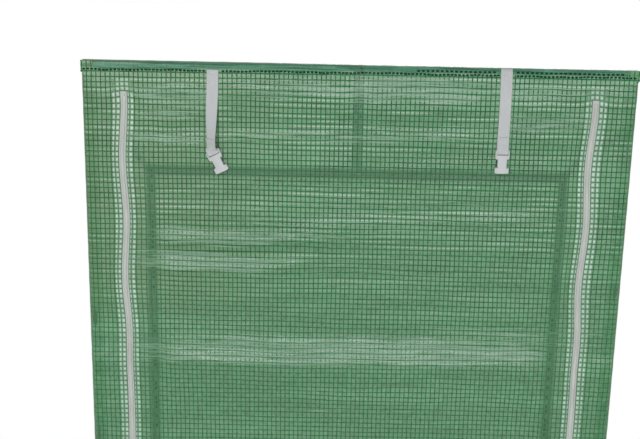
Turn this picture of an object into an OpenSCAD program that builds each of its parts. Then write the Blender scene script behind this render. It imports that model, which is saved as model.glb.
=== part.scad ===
// End wall of a polytunnel greenhouse with a zipped roll-up door.
// The wall stands on the ground at z = 0. The outside faces -Y, the tunnel lies towards +Y.
// A frame of plugged steel tubes carries a cover of grid-reinforced film. The door flap is
// zipped on both sides, and two pairs of straps with side-release buckles hold it rolled up.

/* [Wall] */
// Height of the wall over the cover
wall_h = 2000; // [1700:10:2300]
// Distance from a zip's centre line to the outer edge of the wall
edge_margin = 72; // [45:1:120]
// Outside diameter of the frame tubes
tube_d = 19; // [16:1:19]
// Wall of the frame tubes
tube_wall = 1; // [0.8:0.1:1.5]

/* [Door frame] */
// Distance between the centre lines of the two door posts
door_post_spacing = 720; // [620:10:900]
// Distance from the top of the wall down to the lintel's centre line
lintel_drop = 190; // [189:1:260]

/* [Plugs] */
// Length of the plugs that hold the tubes together
plug_len = 35; // [20:1:50]
// Radial play of a plug in its tube
plug_play = 0.2; // [0.1:0.05:0.4]
// Outside diameter of the thinner rails that run on into the tunnel
bay_rail_d = 13; // [10:0.5:14]
// Plastic under such a rail's plug, down to the lower face of a top corner's block
bay_edge = 1; // [0.5:0.1:2]
// Thickness of the flange under each door post
foot_t = 3; // [2:0.5:6]
// Length of the flange under each door post
foot_len = 50; // [30:1:60]
// Height of the strut's saddles over the tube that they sit on
saddle_h = 8; // [5:1:15]
// Diameter of the holes for ground pegs in the base rail
peg_hole_d = 8; // [5:0.5:12]

/* [Cover] */
// Thickness of the cover
film_t = 1; // [0.5:0.1:1.5]
// Distance from the top of the wall down to the seam of the top sleeve
seam_drop = 14; // [13:0.5:18]
// Distance of the cover's lower edge from the ground
ground_gap = 6; // [2:1:15]
// Height of the hem along the door flap's lower edge
hem_h = 40; // [20:1:80]

/* [Zips] */
// Distance from a door post's centre line out to the zip's centre line
zip_outset = 44; // [36:1:60]
// Width of the slit in the cover that shows the zip
zip_slit_w = 13; // [11:0.5:18]
// Distance from the top of the wall down to the upper end of the slit
zip_top_drop = 56; // [45:1:120]
// Width of the zip's two tapes together
tape_w = 39; // [30:1:42]
// Thickness of the zip's tape
tape_t = 0.7; // [0.4:0.1:1]
// Length of tape sewn behind the cover above the slit
tape_overrun = 24; // [10:1:28]
// Width of the closed coil
coil_w = 6.4; // [4:0.1:8]
// Height of the coil over the tape
coil_h = 2.6; // [1.5:0.1:3.2]
// Height of the slider's body
slider_h = 17; // [12:1:24]
// Length of the slider's pull tab
pull_len = 34; // [20:1:50]

/* [Straps] */
// Distance between the two straps
strap_spacing = 500; // [300:10:560]
// Width of the webbing
strap_w = 20; // [15:0.5:25]
// Thickness of the webbing
strap_t = 1.2; // [0.8:0.1:1.6]
// Length of an outer strap from its sewn end to the buckle's bar
strap_len = 142; // [100:1:160]
// Gap between the plugs on the inner straps and the lintel under them
plug_gap = 5; // [3:1:30]
// Length of the webbing's tail, sewn back on itself
strap_tail = 26; // [15:1:40]
// Angle at which the left buckle hangs askew
left_buckle_angle = 26; // [0:1:35]

/* [Buckles] */
// Length of a buckle from its bar to its end
buckle_len = 38; // [34:1:46]
// Thickness of a buckle
buckle_t = 9; // [8:0.5:11]
// Width of the cheeks beside the webbing
cheek_w = 1.9; // [1.2:0.1:3]
// Diameter of the bar that the webbing loops round
bar_d = 3.6; // [2.6:0.1:4]
// Width of the socket's waist, where its sides are open
waist_w = 15; // [13:0.5:18]
// Thickness of the socket's front and back walls
socket_wall = 1.7; // [1.2:0.1:2]

/* [Hidden] */
$fn = 48;
eps = 0.01;
// Running play between the cover and the tubes
film_play = 0.3;
// Play between flat pieces that are sewn or rest on each other
touch = 0.1;
// Gap between the base rail and the lower end of the zips
zip_rise = 5;
// Play of the webbing round a buckle's bar
loop_play = 0.2;
// How far the left strap's sewn end reaches over the seam
strap_over = 1.5;
// Gap between the top sleeve and the sewn ends of the inner straps
strap_under = 2;
// How much shorter the plug half is than the socket
plug_short = 6;

tube_r = tube_d / 2;
plug_r = tube_r - tube_wall - plug_play;
bay_plug_r = bay_rail_d / 2 - tube_wall - plug_play;
skin = film_t + film_play + tube_r;
post_x = door_post_spacing / 2;
zip_x = post_x + zip_outset;
half_w = zip_x + edge_margin;
corner_x = half_w - skin;
rail_z = wall_h - skin;
lintel_z = wall_h - lintel_drop;
sleeve_in_r = tube_r + film_play;
sleeve_r = sleeve_in_r + film_t;
film_back = -sleeve_in_r;
film_front = -sleeve_r;
seam_z = wall_h - seam_drop;
slit_top_z = wall_h - zip_top_drop;
zip_foot_z = tube_d + zip_rise;
tape_back = film_back + touch + tape_t;
strap_x = strap_spacing / 2;
bar_r = bar_d / 2;
loop_in_r = bar_r + loop_play;
loop_r = loop_in_r + strap_t;
buckle_w = strap_w + 2 * touch + 2 * cheek_w;
slot_w = strap_w + 2 * touch;
// Side clearance of the sleeves from the corner plugs
sleeve_clear = 0.7;
// Half width of the gap in a side sleeve that the jamb strip closes
sleeve_lap = sqrt(pow(sleeve_r, 2) - pow(sleeve_in_r, 2));
side_sleeve_low = tube_d + sleeve_clear;
side_sleeve_top = rail_z - tube_r - sleeve_clear;
outer_bar_y = film_front - touch - loop_r;
inner_bar_y = film_back + touch + loop_r;
// Reach of the plug half from its bar to its hooks
plug_reach = buckle_len - plug_short;
left_strap_top = seam_z + strap_over;
right_strap_top = rail_z + tube_r;
inner_strap_top = rail_z - sleeve_r - strap_under;
inner_bar_z = lintel_z + tube_r + plug_gap + plug_reach;

// Shapes that several pieces share

module along_x() { rotate([0, 90, 0]) children(); }

module along_y() { rotate([-90, 0, 0]) children(); }

// Round tube of the given length along +Z
module tube(length) {
    difference() {
        cylinder(d = tube_d, h = length);
        translate([0, 0, -eps]) cylinder(r = tube_r - tube_wall, h = length + 2 * eps);
    }
}

// Tube plug along +Z with a tapered nose, standing on the block it belongs to
module plug() {
    nose = plug_r / 3;
    cylinder(r = plug_r, h = plug_len - nose);
    translate([0, 0, plug_len - nose]) cylinder(r1 = plug_r, r2 = plug_r - nose / 2, h = nose);
}

// Straight plug along +Z for a rail that runs on into the tunnel
module bay_plug() {
    cylinder(r = bay_plug_r, h = plug_len);
}

// Rectangle with rounded corners, centred on x, from y0 up to y1
module soft_rect(w, y0, y1, r) {
    translate([-w / 2 + r, y0]) square([w - 2 * r, y1 - y0]);
    translate([-w / 2, y0 + r]) square([w, y1 - y0 - 2 * r]);
    for (x = [-1, 1], y = [y0 + r, y1 - r])
        translate([x * (w / 2 - r), y]) circle(r);
}

// Frame of tubes

module base_rail() {
    length = 2 * (corner_x - tube_r);
    color("darkgreen") difference() {
        translate([-length / 2, -tube_r, 0]) cube([length, tube_d, tube_d]);
        translate([-length / 2 - eps, -tube_r + tube_wall, tube_wall])
            cube([length + 2 * eps, tube_d - 2 * tube_wall, tube_d - 2 * tube_wall]);
        for (side = [-1, 1])
            translate([side * zip_x, 0, -eps]) cylinder(d = peg_hole_d, h = tube_d + 2 * eps);
    }
}

module top_rail() {
    length = 2 * (corner_x - tube_r);
    color("darkgreen") translate([-length / 2, 0, rail_z]) along_x() tube(length);
}

module corner_post(side) {
    color("darkgreen") translate([side * corner_x, 0, tube_d]) tube(rail_z - tube_r - tube_d);
}

module door_post(side) {
    foot_z = tube_d + foot_t;
    color("darkgreen") translate([side * post_x, 0, foot_z]) tube(lintel_z - tube_r - foot_z);
}

module lintel() {
    length = 2 * (post_x - tube_r);
    color("darkgreen") translate([-length / 2, 0, lintel_z]) along_x() tube(length);
}

module centre_strut() {
    low_z = lintel_z + tube_r + saddle_h;
    color("darkgreen") translate([0, 0, low_z]) tube(rail_z - sleeve_r - saddle_h - low_z);
}

// Corner plugs

// Block of the tubes' own size with moulded edges
module corner_block() {
    edge = tube_d / 16;
    intersection() {
        translate([0, 0, -tube_r]) linear_extrude(tube_d) soft_rect(tube_d, -tube_r, tube_r, edge);
        along_x() translate([0, 0, -tube_r]) linear_extrude(tube_d) soft_rect(tube_d, -tube_r, tube_r, edge);
    }
}

module square_plug() {
    side = tube_d - 2 * tube_wall - 2 * plug_play;
    translate([0, -side / 2, -side / 2]) cube([plug_len, side, side]);
}

module base_corner(side) {
    color("seagreen") translate([side * corner_x, 0, tube_r]) {
        corner_block();
        translate([0, 0, tube_r]) plug();
        translate([0, tube_r, 0]) along_y() bay_plug();
        mirror([side > 0 ? 1 : 0, 0, 0]) translate([tube_r, 0, 0]) square_plug();
    }
}

module top_corner(side) {
    color("seagreen") translate([side * corner_x, 0, rail_z]) {
        corner_block();
        mirror([0, 0, 1]) translate([0, 0, tube_r]) plug();
        translate([0, tube_r, bay_edge + bay_plug_r - tube_r]) along_y() bay_plug();
        mirror([side > 0 ? 1 : 0, 0, 0]) translate([tube_r, 0, 0]) along_x() plug();
    }
}

module lintel_corner(side) {
    color("seagreen") translate([side * post_x, 0, lintel_z]) {
        corner_block();
        mirror([0, 0, 1]) translate([0, 0, tube_r]) plug();
        mirror([side > 0 ? 1 : 0, 0, 0]) translate([tube_r, 0, 0]) along_x() plug();
    }
}

module door_foot(side) {
    color("seagreen") translate([side * post_x, 0, tube_d]) {
        linear_extrude(foot_t) rotate(90) soft_rect(tube_d, -foot_len / 2, foot_len / 2, tube_d / 5);
        translate([0, 0, foot_t]) plug();
    }
}

// Cap that sits astride a round bar of radius seat_r and plugs into the strut above it
module saddle(seat_r) {
    difference() {
        cylinder(r = tube_r, h = seat_r + saddle_h);
        translate([-tube_d, 0, 0]) along_x() cylinder(r = seat_r + touch, h = 2 * tube_d);
    }
    translate([0, 0, seat_r + saddle_h]) plug();
}

module strut_saddle_lower() {
    color("seagreen") translate([0, 0, lintel_z]) saddle(tube_r);
}

module strut_saddle_upper() {
    color("seagreen") translate([0, 0, rail_z]) mirror([0, 0, 1]) saddle(sleeve_r);
}

// Cover of grid-reinforced film

// Flat piece of cover from corner [x0, z0] to corner [x1, z1]
module film(x0, x1, z0, z1) {
    translate([x0, film_front, z0]) cube([x1 - x0, film_t, z1 - z0]);
}

module sleeve_ring(length) {
    difference() {
        cylinder(r = sleeve_r, h = length);
        translate([0, 0, -eps]) cylinder(r = sleeve_in_r, h = length + 2 * eps);
    }
}

module door_flap() {
    slit_in = zip_x - zip_slit_w / 2;
    color("mediumseagreen") {
        film(-slit_in, slit_in, ground_gap, slit_top_z + eps);
        film(-zip_x, zip_x, slit_top_z, seam_z);
        translate([-slit_in, film_front - film_t, ground_gap]) cube([2 * slit_in, film_t + eps, hem_h]);
    }
}

// Flat strip outside a zip, and the tab that covers the lower half of the corner plug
module jamb_strip(side) {
    slit_out = zip_x + zip_slit_w / 2;
    lap_x = corner_x + sleeve_lap;
    color("mediumseagreen") mirror([side < 0 ? 1 : 0, 0, 0]) {
        film(slit_out, lap_x, ground_gap, slit_top_z + eps);
        film(zip_x, lap_x, slit_top_z, seam_z);
        film(corner_x, half_w, side_sleeve_top, seam_z);
    }
}

// Film folded round a corner post from behind and sewn to the jamb strip's back
module side_sleeve(side) {
    color("mediumseagreen") translate([side * corner_x, 0, side_sleeve_low]) difference() {
        sleeve_ring(side_sleeve_top - side_sleeve_low);
        translate([-sleeve_lap, -2 * sleeve_r, -eps]) cube([2 * sleeve_lap, 2 * sleeve_r, wall_h]);
    }
}

// Film folded over the top rail, and the flat tabs that cover the corner plugs
module top_sleeve() {
    reach = corner_x - tube_r - sleeve_clear;
    color("mediumseagreen") {
        translate([-reach, 0, rail_z]) along_x() sleeve_ring(2 * reach);
        film(-half_w, half_w, seam_z, rail_z);
        for (side = [-1, 1]) mirror([side < 0 ? 1 : 0, 0, 0])
            film(reach - eps, half_w, rail_z - eps, wall_h);
    }
}

// Zips

module zip_tape(side) {
    color("white") translate([side * zip_x - tape_w / 2, film_back + touch, zip_foot_z])
        cube([tape_w, tape_t, slit_top_z + tape_overrun - zip_foot_z]);
}

// Coil of half-round section, lying on the tape in the slit
module zip_coil(side) {
    shoulder = coil_h / 3;
    end_gap = 1;
    round_r = (pow(coil_w / 2, 2) + pow(coil_h - shoulder, 2)) / (2 * (coil_h - shoulder));
    color("white") translate([side * zip_x, film_back + touch, zip_foot_z])
        linear_extrude(slit_top_z - zip_foot_z - end_gap) intersection() {
            translate([-coil_w / 2, -coil_h]) square([coil_w, coil_h]);
            translate([0, round_r - coil_h]) circle(round_r, $fn = 96);
        }
}

// How far the slider's wings reach past the coil on each side
wing_reach = 2.5;
slider_w = coil_w + 2 * wing_reach;
// Width of the slider's neck and of its pull tab
neck_w = slider_w * 0.8;
slider_z = zip_foot_z + pull_len;
slider_wing = 1.6;
wing_front = film_back + touch - coil_h - touch - slider_wing;
// Wire of the bridge, and the eye under it
bridge_t = 1.6;
bridge_w = slider_w / 3;
bridge_len = slider_h * 0.7;
eye_depth = 2.2;
// Thickness of the pull tab, and its play on the bridge
tab_t = 1.4;
tab_play = 0.3;

// Outline of a slider's wing, wider at its upper shoulders
module slider_outline() {
    r = slider_w / 5;
    neck_h = slider_h * 0.45;
    soft_rect(neck_w, 0, slider_h, r);
    soft_rect(slider_w, neck_h, slider_h, r);
}

module slider_plate(back_y) {
    translate([0, back_y, 0]) rotate([90, 0, 0]) linear_extrude(slider_wing) slider_outline();
}

// Section of the bridge: a staple with rounded shoulders that rises towards -y from y = 0
module staple() {
    rise = eye_depth + bridge_t;
    difference() {
        soft_rect(bridge_len, -rise, rise, bridge_t);
        translate([-bridge_len, 0]) square([2 * bridge_len, 2 * rise]);
        translate([-bridge_len / 2 + bridge_t, -eye_depth])
            square([bridge_len - 2 * bridge_t, eye_depth + eps]);
    }
}

// Slider with a wing before the coil, a wing behind the tape and a bridge for the pull
module zip_slider(side) {
    color("gainsboro") translate([side * zip_x, 0, slider_z]) {
        slider_plate(wing_front + slider_wing);
        slider_plate(tape_back + touch + slider_wing);
        translate([-bridge_w / 2, wing_front + eps, slider_h / 2]) along_x() linear_extrude(bridge_w) staple();
    }
}

// Pull tab that hangs by its eye from the lower leg of the slider's bridge
module zip_pull(side) {
    eye_w = bridge_w + 2 * tab_play;
    leg_top = slider_z + slider_h / 2 - bridge_len / 2 + bridge_t;
    color("gainsboro") translate([side * zip_x, wing_front - eye_depth / 2 + tab_t / 2, leg_top + tab_play])
        rotate([90, 0, 0]) linear_extrude(tab_t) difference() {
            soft_rect(neck_w, -pull_len, bridge_t, neck_w / 4);
            translate([-eye_w / 2, -bridge_t - 2 * tab_play]) square([eye_w, bridge_t + 2 * tab_play]);
        }
}

// Straps and buckles

// Webbing section in the y-z plane: a strap of the given length, the loop round the bar at the
// origin and the tail sewn back onto the strap. The strap lies on the +y side of the bar.
module webbing_section(length) {
    closed = strap_tail * 0.6;
    translate([loop_in_r, 0]) square([strap_t, length]);
    difference() {
        circle(loop_r);
        circle(loop_in_r);
        translate([-loop_r - eps, 0]) square([2 * loop_r + 2 * eps, loop_r + eps]);
    }
    polygon([
        [-loop_r, 0], [-loop_in_r, 0], [loop_in_r + eps, closed],
        [loop_in_r + eps, strap_tail], [loop_in_r - strap_t, strap_tail]
    ]);
}

// Strap whose bar lies at the origin, with the strap on the +Y side
module webbing(length) {
    translate([-strap_w / 2, 0, 0]) rotate([90, 0, 90]) linear_extrude(strap_w) webbing_section(length);
}

// The end with the loop turns with its buckle, and the rest hangs straight
module outer_strap(side, top_z, angle) {
    bar_z = top_z - strap_len;
    bend_z = angle > 0 ? strap_tail / 3 : strap_tail;
    color("whitesmoke") translate([side * strap_x, outer_bar_y, bar_z]) {
        rotate([0, -angle, 0]) webbing(strap_tail);
        translate([-strap_w / 2, loop_in_r, bend_z]) cube([strap_w, strap_t, strap_len - bend_z]);
    }
}

module inner_strap(side) {
    color("whitesmoke") translate([side * strap_x, inner_bar_y, inner_bar_z])
        mirror([0, 1, 0]) webbing(inner_strap_top - inner_bar_z);
}

// Limits a buckle to a crowned section: flat back at y = loop_r, crowned front
module crowned(z0, z1) {
    crown_r = buckle_w * 1.3;
    intersection() {
        translate([-buckle_w, loop_r - buckle_t, z0]) cube([2 * buckle_w, buckle_t, z1 - z0]);
        translate([0, loop_r - buckle_t + crown_r, z0]) cylinder(r = crown_r, h = z1 - z0, $fn = 96);
        children();
    }
}

module upright(w, y0, y1, r) {
    rotate([90, 0, 0]) translate([0, 0, -buckle_t]) linear_extrude(2 * buckle_t) soft_rect(w, y0, y1, r);
}

// Height of the slot under the bar, and of the shoulder under the slot
slot_h = 4.4;
shoulder_h = 7;
shoulder_low = -bar_r - slot_h - shoulder_h;
// Plastic over the bar at the ends of the cheeks, and the cheeks' rounding
bar_cover = 1;
cheek_r = 2;
// How far fused sections run into each other
lap = 1;

// Cheeks with the bar that the webbing loops round, and the shoulder under the slot
module bar_end() {
    difference() {
        crowned(shoulder_low, bar_r + bar_cover)
            upright(buckle_w, shoulder_low, bar_r + bar_cover, cheek_r);
        translate([-slot_w / 2, -2 * buckle_t, -bar_r - slot_h])
            cube([slot_w, 4 * buckle_t, slot_h + bar_d + 2 * bar_cover]);
    }
    translate([-slot_w / 2 - cheek_w / 2, 0, 0]) along_x() cylinder(r = bar_r, h = slot_w + cheek_w);
}

// Female half: a flat box open at its mouth, with open sides at the waist
module socket() {
    mouth_h = buckle_len / 4;
    mouth_r = 1.6;
    mouth_wall = 2.4;
    waist_edge = 0.4;
    cavity_w = buckle_w - 2 * mouth_wall;
    difference() {
        union() {
            bar_end();
            crowned(-buckle_len, shoulder_low + lap)
                upright(waist_w, -buckle_len + mouth_h / 2, shoulder_low + lap, waist_edge);
            crowned(-buckle_len, -buckle_len + mouth_h)
                upright(buckle_w, -buckle_len, -buckle_len + mouth_h, mouth_r);
        }
        translate([-cavity_w / 2, loop_r - buckle_t + socket_wall, -buckle_len - eps])
            cube([cavity_w, buckle_t - 2 * socket_wall, buckle_len + shoulder_low + lap]);
    }
}

// Male half: two springy arms with hooked ends beside a guide tongue
module plug_half() {
    arm_play = 0.4;
    arm_t = buckle_t - 2 * socket_wall - 2 * arm_play;
    arm_w = 2.6;
    arm_inset = 5.2;
    arm_x = buckle_w / 2 - arm_inset;
    hook_r = 3.4;
    hook_inset = 0.6;
    hook_w = buckle_w / 2 - hook_inset - arm_x;
    tongue_w = 4.2;
    tongue_r = 1.2;
    hook_z = hook_r - plug_reach;
    bar_end();
    translate([0, loop_r - buckle_t / 2 + arm_t / 2, 0]) rotate([90, 0, 0]) linear_extrude(arm_t) {
        soft_rect(tongue_w, hook_z - hook_r / 2, shoulder_low + lap, tongue_r);
        for (side = [-1, 1]) mirror([side < 0 ? 1 : 0, 0]) {
            translate([arm_x - arm_w / 2, hook_z]) square([arm_w, shoulder_low + lap - hook_z]);
            translate([arm_x, hook_z]) circle(hook_r);
            translate([arm_x, hook_z]) square([hook_w, hook_r]);
        }
    }
}

module buckle_socket(side, top_z, angle) {
    color("white") translate([side * strap_x, outer_bar_y, top_z - strap_len]) rotate([0, -angle, 0]) socket();
}

module buckle_plug(side) {
    color("white") translate([side * strap_x, inner_bar_y, inner_bar_z]) mirror([0, 1, 0]) plug_half();
}

base_rail();
top_rail();
corner_post(-1);  // corner_post_left
corner_post(1);  // corner_post_right
door_post(-1);  // door_post_left
door_post(1);  // door_post_right
lintel();
centre_strut();
base_corner(-1);  // base_corner_left
base_corner(1);  // base_corner_right
top_corner(-1);  // top_corner_left
top_corner(1);  // top_corner_right
lintel_corner(-1);  // lintel_corner_left
lintel_corner(1);  // lintel_corner_right
door_foot(-1);  // door_foot_left
door_foot(1);  // door_foot_right
strut_saddle_lower();
strut_saddle_upper();
door_flap();
jamb_strip(-1);  // jamb_strip_left
jamb_strip(1);  // jamb_strip_right
top_sleeve();
side_sleeve(-1);  // side_sleeve_left
side_sleeve(1);  // side_sleeve_right
zip_tape(-1);  // zip_tape_left
zip_tape(1);  // zip_tape_right
zip_coil(-1);  // zip_coil_left
zip_coil(1);  // zip_coil_right
zip_slider(-1);  // zip_slider_left
zip_slider(1);  // zip_slider_right
zip_pull(-1);  // zip_pull_left
zip_pull(1);  // zip_pull_right
outer_strap(-1, left_strap_top, left_buckle_angle);  // outer_strap_left
outer_strap(1, right_strap_top, 0);  // outer_strap_right
buckle_socket(-1, left_strap_top, left_buckle_angle);  // buckle_socket_left
buckle_socket(1, right_strap_top, 0);  // buckle_socket_right
inner_strap(-1);  // inner_strap_left
inner_strap(1);  // inner_strap_right
buckle_plug(-1);  // buckle_plug_left
buckle_plug(1);  // buckle_plug_right
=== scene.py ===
# Looks of the polytunnel's end wall with its zipped door: film, threads, zips, straps, paint, light.
# Metres, +Z up. The photographed side faces -Y and the tunnel lies towards +Y.
import math
from types import SimpleNamespace

import bpy
import numpy as np
from mathutils import Matrix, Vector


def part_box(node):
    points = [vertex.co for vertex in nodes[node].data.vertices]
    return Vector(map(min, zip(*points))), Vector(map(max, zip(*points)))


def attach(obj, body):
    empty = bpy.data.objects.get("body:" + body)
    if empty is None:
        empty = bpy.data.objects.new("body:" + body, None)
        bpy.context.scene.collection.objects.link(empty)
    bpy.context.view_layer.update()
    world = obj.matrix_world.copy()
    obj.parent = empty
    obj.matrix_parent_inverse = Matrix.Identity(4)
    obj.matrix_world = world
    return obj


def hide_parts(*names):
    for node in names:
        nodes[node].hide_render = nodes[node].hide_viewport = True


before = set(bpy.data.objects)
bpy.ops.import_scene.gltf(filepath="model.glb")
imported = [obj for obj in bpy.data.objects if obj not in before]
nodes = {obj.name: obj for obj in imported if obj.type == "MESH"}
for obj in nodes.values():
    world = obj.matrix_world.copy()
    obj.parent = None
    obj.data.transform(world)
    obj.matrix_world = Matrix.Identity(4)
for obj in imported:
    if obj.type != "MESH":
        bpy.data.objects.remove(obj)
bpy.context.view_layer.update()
X, Y, Z = 0, 1, 2
RIGHTWARD, DOWNWARD, OUTWARD, INWARD = (1, 0, 0), (0, 0, -1), (0, -1, 0), (0, 1, 0)
SIDES = (("left", -1), ("right", 1))


def low(node, axis):
    """Where a node of the frame starts along an axis, to 0.01 mm."""
    return round(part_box(node)[0][axis], 5)


def high(node, axis):
    """Where a node of the frame ends along an axis, to 0.01 mm."""
    return round(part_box(node)[1][axis], 5)


def middle(node, axis):
    """The middle of a node of the frame along an axis, to 0.01 mm."""
    return round((low(node, axis) + high(node, axis)) / 2, 5)


def half(node, axis):
    """Half of a node's reach along an axis, to 0.01 mm."""
    return round((high(node, axis) - low(node, axis)) / 2, 5)


# Places read from the frame
HALF_W = high("top_sleeve", X)
WALL_H = high("top_sleeve", Z)
TUBE_R = high("base_rail", Y)
CORNER_X = middle("corner_post_right", X)
RAIL_Z = middle("top_rail", Z)
POST_X = middle("door_post_right", X)
LINTEL_Z = middle("lintel", Z)
SLEEVE_FOOT_Z = low("side_sleeve_right", Z)
SLEEVE_TOP_Z = high("side_sleeve_right", Z)
SEAM_Z = high("door_flap", Z)
FLAP_FOOT_Z = low("door_flap", Z)
ZIP_X = middle("zip_tape_right", X)
TAPE_HALF = half("zip_tape_right", X)
TAPE_T = 2 * half("zip_tape_right", Y)
TAPE_Y = middle("zip_tape_right", Y)
TAPE_TOP_Z = high("zip_tape_right", Z)
TAPE_FOOT_Z = low("zip_tape_right", Z)
COIL_HALF = half("zip_coil_right", X)
COIL_H = 2 * half("zip_coil_right", Y)
STRAP_X = middle("outer_strap_right", X)
STRAP_W = 2 * half("outer_strap_right", X)
LEFT_TOP_Z = high("outer_strap_left", Z)
RIGHT_TOP_Z = high("outer_strap_right", Z)
INNER_TOP_Z = high("inner_strap_right", Z)
OUTER_BAR_Y = middle("outer_strap_right", Y)
INNER_BAR_Y = middle("inner_strap_right", Y)

# Sizes repeated from the part's source
SLEEVE_R = 0.0104
SLEEVE_LAP = 0.0045
SLIT_HALF = 0.0065
SLIT_TOP_Z = 1.944
STRAP_T = 0.0012
STRAP_TAIL = 0.026
STRAP_RUN = 0.142
BAR_IN = 0.0028
LEFT_TURN = math.radians(26)
FLAP_HALF = ZIP_X - SLIT_HALF
LEFT_BAR_Z = LEFT_TOP_Z - STRAP_RUN
RIGHT_BAR_Z = RIGHT_TOP_Z - STRAP_RUN
INNER_BAR_Z = high("buckle_plug_right", Z) - BAR_IN

# Sizes of the finish: film and zip as in the photograph, the straps' loops fitted to the buckles' bars
FILM_Y = -0.0105
CELLS_ACROSS, CELLS_UP = 99, 213
PITCH_X = 2 * FLAP_HALF / CELLS_ACROSS
PITCH_Z = (SEAM_Z - FLAP_FOOT_Z) / CELLS_UP
THREAD_HALF = 0.00105
THREAD_H = 0.00015
THREAD_SUNK = 5e-5
SLEEVE_END_X = 0.455
# Height in the sleeve's flat place of the painted shade line along its top fold.
SLEEVE_SHADE_V = 2.0058
SEAM_RISE = 0.0022
COIL_PITCH = 0.0022
EDGE_R = 0.0006
LOOP_R = 0.0026
LOOP_DROP = 0.0054


# Mesh helpers

def put_quads(name, points, quads, uv, slot, paint, glare_share=None):
    """A mesh piece from whole arrays: points (n, 3), quads (m, 4), one uv in metres for each point, and an
    optional value for each point that says how much painted glare the film gets there."""
    points = np.ascontiguousarray(points, np.float32).reshape(-1, 3)
    quads = np.ascontiguousarray(quads, np.int32).reshape(-1, 4)
    uv = np.asarray(uv, np.float32).reshape(-1, 2)
    mesh = bpy.data.meshes.new(name)
    mesh.vertices.add(len(points))
    mesh.vertices.foreach_set("co", points.ravel())
    mesh.loops.add(quads.size)
    mesh.loops.foreach_set("vertex_index", quads.ravel())
    mesh.polygons.add(len(quads))
    mesh.polygons.foreach_set("loop_start", np.arange(0, quads.size, 4, dtype=np.int32))
    mesh.polygons.foreach_set("use_smooth", np.ones(len(quads), bool))
    mesh.update(calc_edges=True)
    layer = mesh.uv_layers.new(name="UVMap")
    layer.data.foreach_set("uv", np.ascontiguousarray(uv[quads.ravel()]).ravel())
    # Each point's share of painted glare, read by the film's paints.
    if glare_share is not None:
        mark = mesh.attributes.new("glare_share", "FLOAT", "POINT")
        mark.data.foreach_set("value", np.asarray(glare_share, np.float32).ravel())
    mesh.materials.append(paint)
    piece = bpy.data.objects.new(name, mesh)
    bpy.context.scene.collection.objects.link(piece)
    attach(piece, "root")
    return piece


def grid_quads(rows, cols, wrap=False):
    """Quads of a grid of points held row by row. With wrap, the last column joins the first."""
    at = np.arange(rows * cols).reshape(rows, cols)
    if wrap:
        at = np.concatenate([at, at[:, :1]], 1)
    return np.stack([at[:-1, :-1], at[:-1, 1:], at[1:, 1:], at[1:, :-1]], -1).reshape(-1, 4)


def repeat_quads(quads, copies, points_each):
    """The quads of many like shapes that lie one after the other in one array of points."""
    return (quads[None] + (np.arange(copies) * points_each)[:, None, None]).reshape(-1, 4)


def spread(*parts):
    """Arrays stretched to one shape and stacked as the last axis."""
    return np.stack(np.broadcast_arrays(*parts), -1)


def gather(parts):
    """Several (points, quads, uv) sets as one, each set's quads moved past the points before it."""
    points, quads, uv, base = [], [], [], 0
    for p, q, t in parts:
        p = np.asarray(p).reshape(-1, 3)
        points.append(p)
        quads.append(np.asarray(q) + base)
        uv.append(np.asarray(t).reshape(-1, 2))
        base += len(p)
    return np.concatenate(points), np.concatenate(quads), np.concatenate(uv)


def everywhere(direction, points):
    """One direction for each point."""
    return np.broadcast_to(np.array(direction, float), points.shape)


def unit(vectors):
    """Vectors of length 1."""
    return vectors / np.linalg.norm(vectors, axis=-1, keepdims=True)


def ease(x, a, b):
    """0 below a, 1 above b, and a smooth step between."""
    t = np.clip((x - a) / (b - a), 0, 1)
    return t * t * (3 - 2 * t)


def bell(x, centre, width):
    """A rounded hump of height 1 round centre."""
    return np.exp(-((x - centre) / width) ** 2)


def wave(x, length, shift=0.0):
    """A sine wave of one length, moved on by an angle."""
    return np.sin(2 * np.pi * x / length + shift)


def columns(table, x):
    """Each row's number, then a table's columns, all shaped so that they spread over the places x."""
    shape = (-1, *[1] * np.ndim(x))
    return [np.arange(len(table)).reshape(shape), *(column.reshape(shape) for column in table.T)]


# How the film lies

# Long folds left from packing: height on the wall, middle, slope, how far it stands out, half height, reach
FOLDS = np.array([
    (1.5000, 0.00, 0.004, 0.0012, 0.0085, 0.52),
    (1.4800, 0.02, 0.006, -0.0008, 0.0090, 0.50),
    (1.4620, -0.05, 0.010, 0.0010, 0.0080, 0.44),
    (1.5260, 0.12, -0.020, -0.0012, 0.0100, 0.30),
    (1.6910, -0.22, -0.008, 0.0017, 0.0070, 0.15),
    (1.6740, -0.20, -0.012, -0.0014, 0.0080, 0.15),
    (1.6400, -0.20, -0.024, 0.0019, 0.0080, 0.17),
    (1.6240, -0.16, -0.020, -0.0012, 0.0080, 0.18),
    (1.5780, 0.14, 0.016, 0.0011, 0.0090, 0.20),
    (1.7350, 0.10, 0.014, 0.0010, 0.0110, 0.26),
    (1.8780, 0.02, 0.008, 0.0009, 0.0060, 0.30),
    (1.9620, 0.02, 0.004, 0.0010, 0.0130, 0.26),
    (1.3900, 0.16, 0.020, 0.0013, 0.0100, 0.24),
    (1.3450, -0.12, -0.014, 0.0012, 0.0090, 0.26),
    (1.2500, 0.05, 0.012, 0.0018, 0.0100, 0.40),
    (1.0000, 0.00, -0.006, 0.0026, 0.0090, 0.52),
    (0.9790, 0.00, -0.004, -0.0017, 0.0095, 0.50),
    (0.8200, -0.12, 0.020, 0.0015, 0.0100, 0.26),
    (0.6400, 0.14, -0.018, 0.0016, 0.0110, 0.28),
    (0.5000, 0.00, 0.006, 0.0025, 0.0090, 0.52),
    (0.4800, 0.00, 0.008, -0.0016, 0.0095, 0.50),
    (0.3000, -0.08, -0.016, 0.0014, 0.0110, 0.30),
    (0.1700, 0.10, 0.014, 0.0012, 0.0100, 0.30),
])

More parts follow.
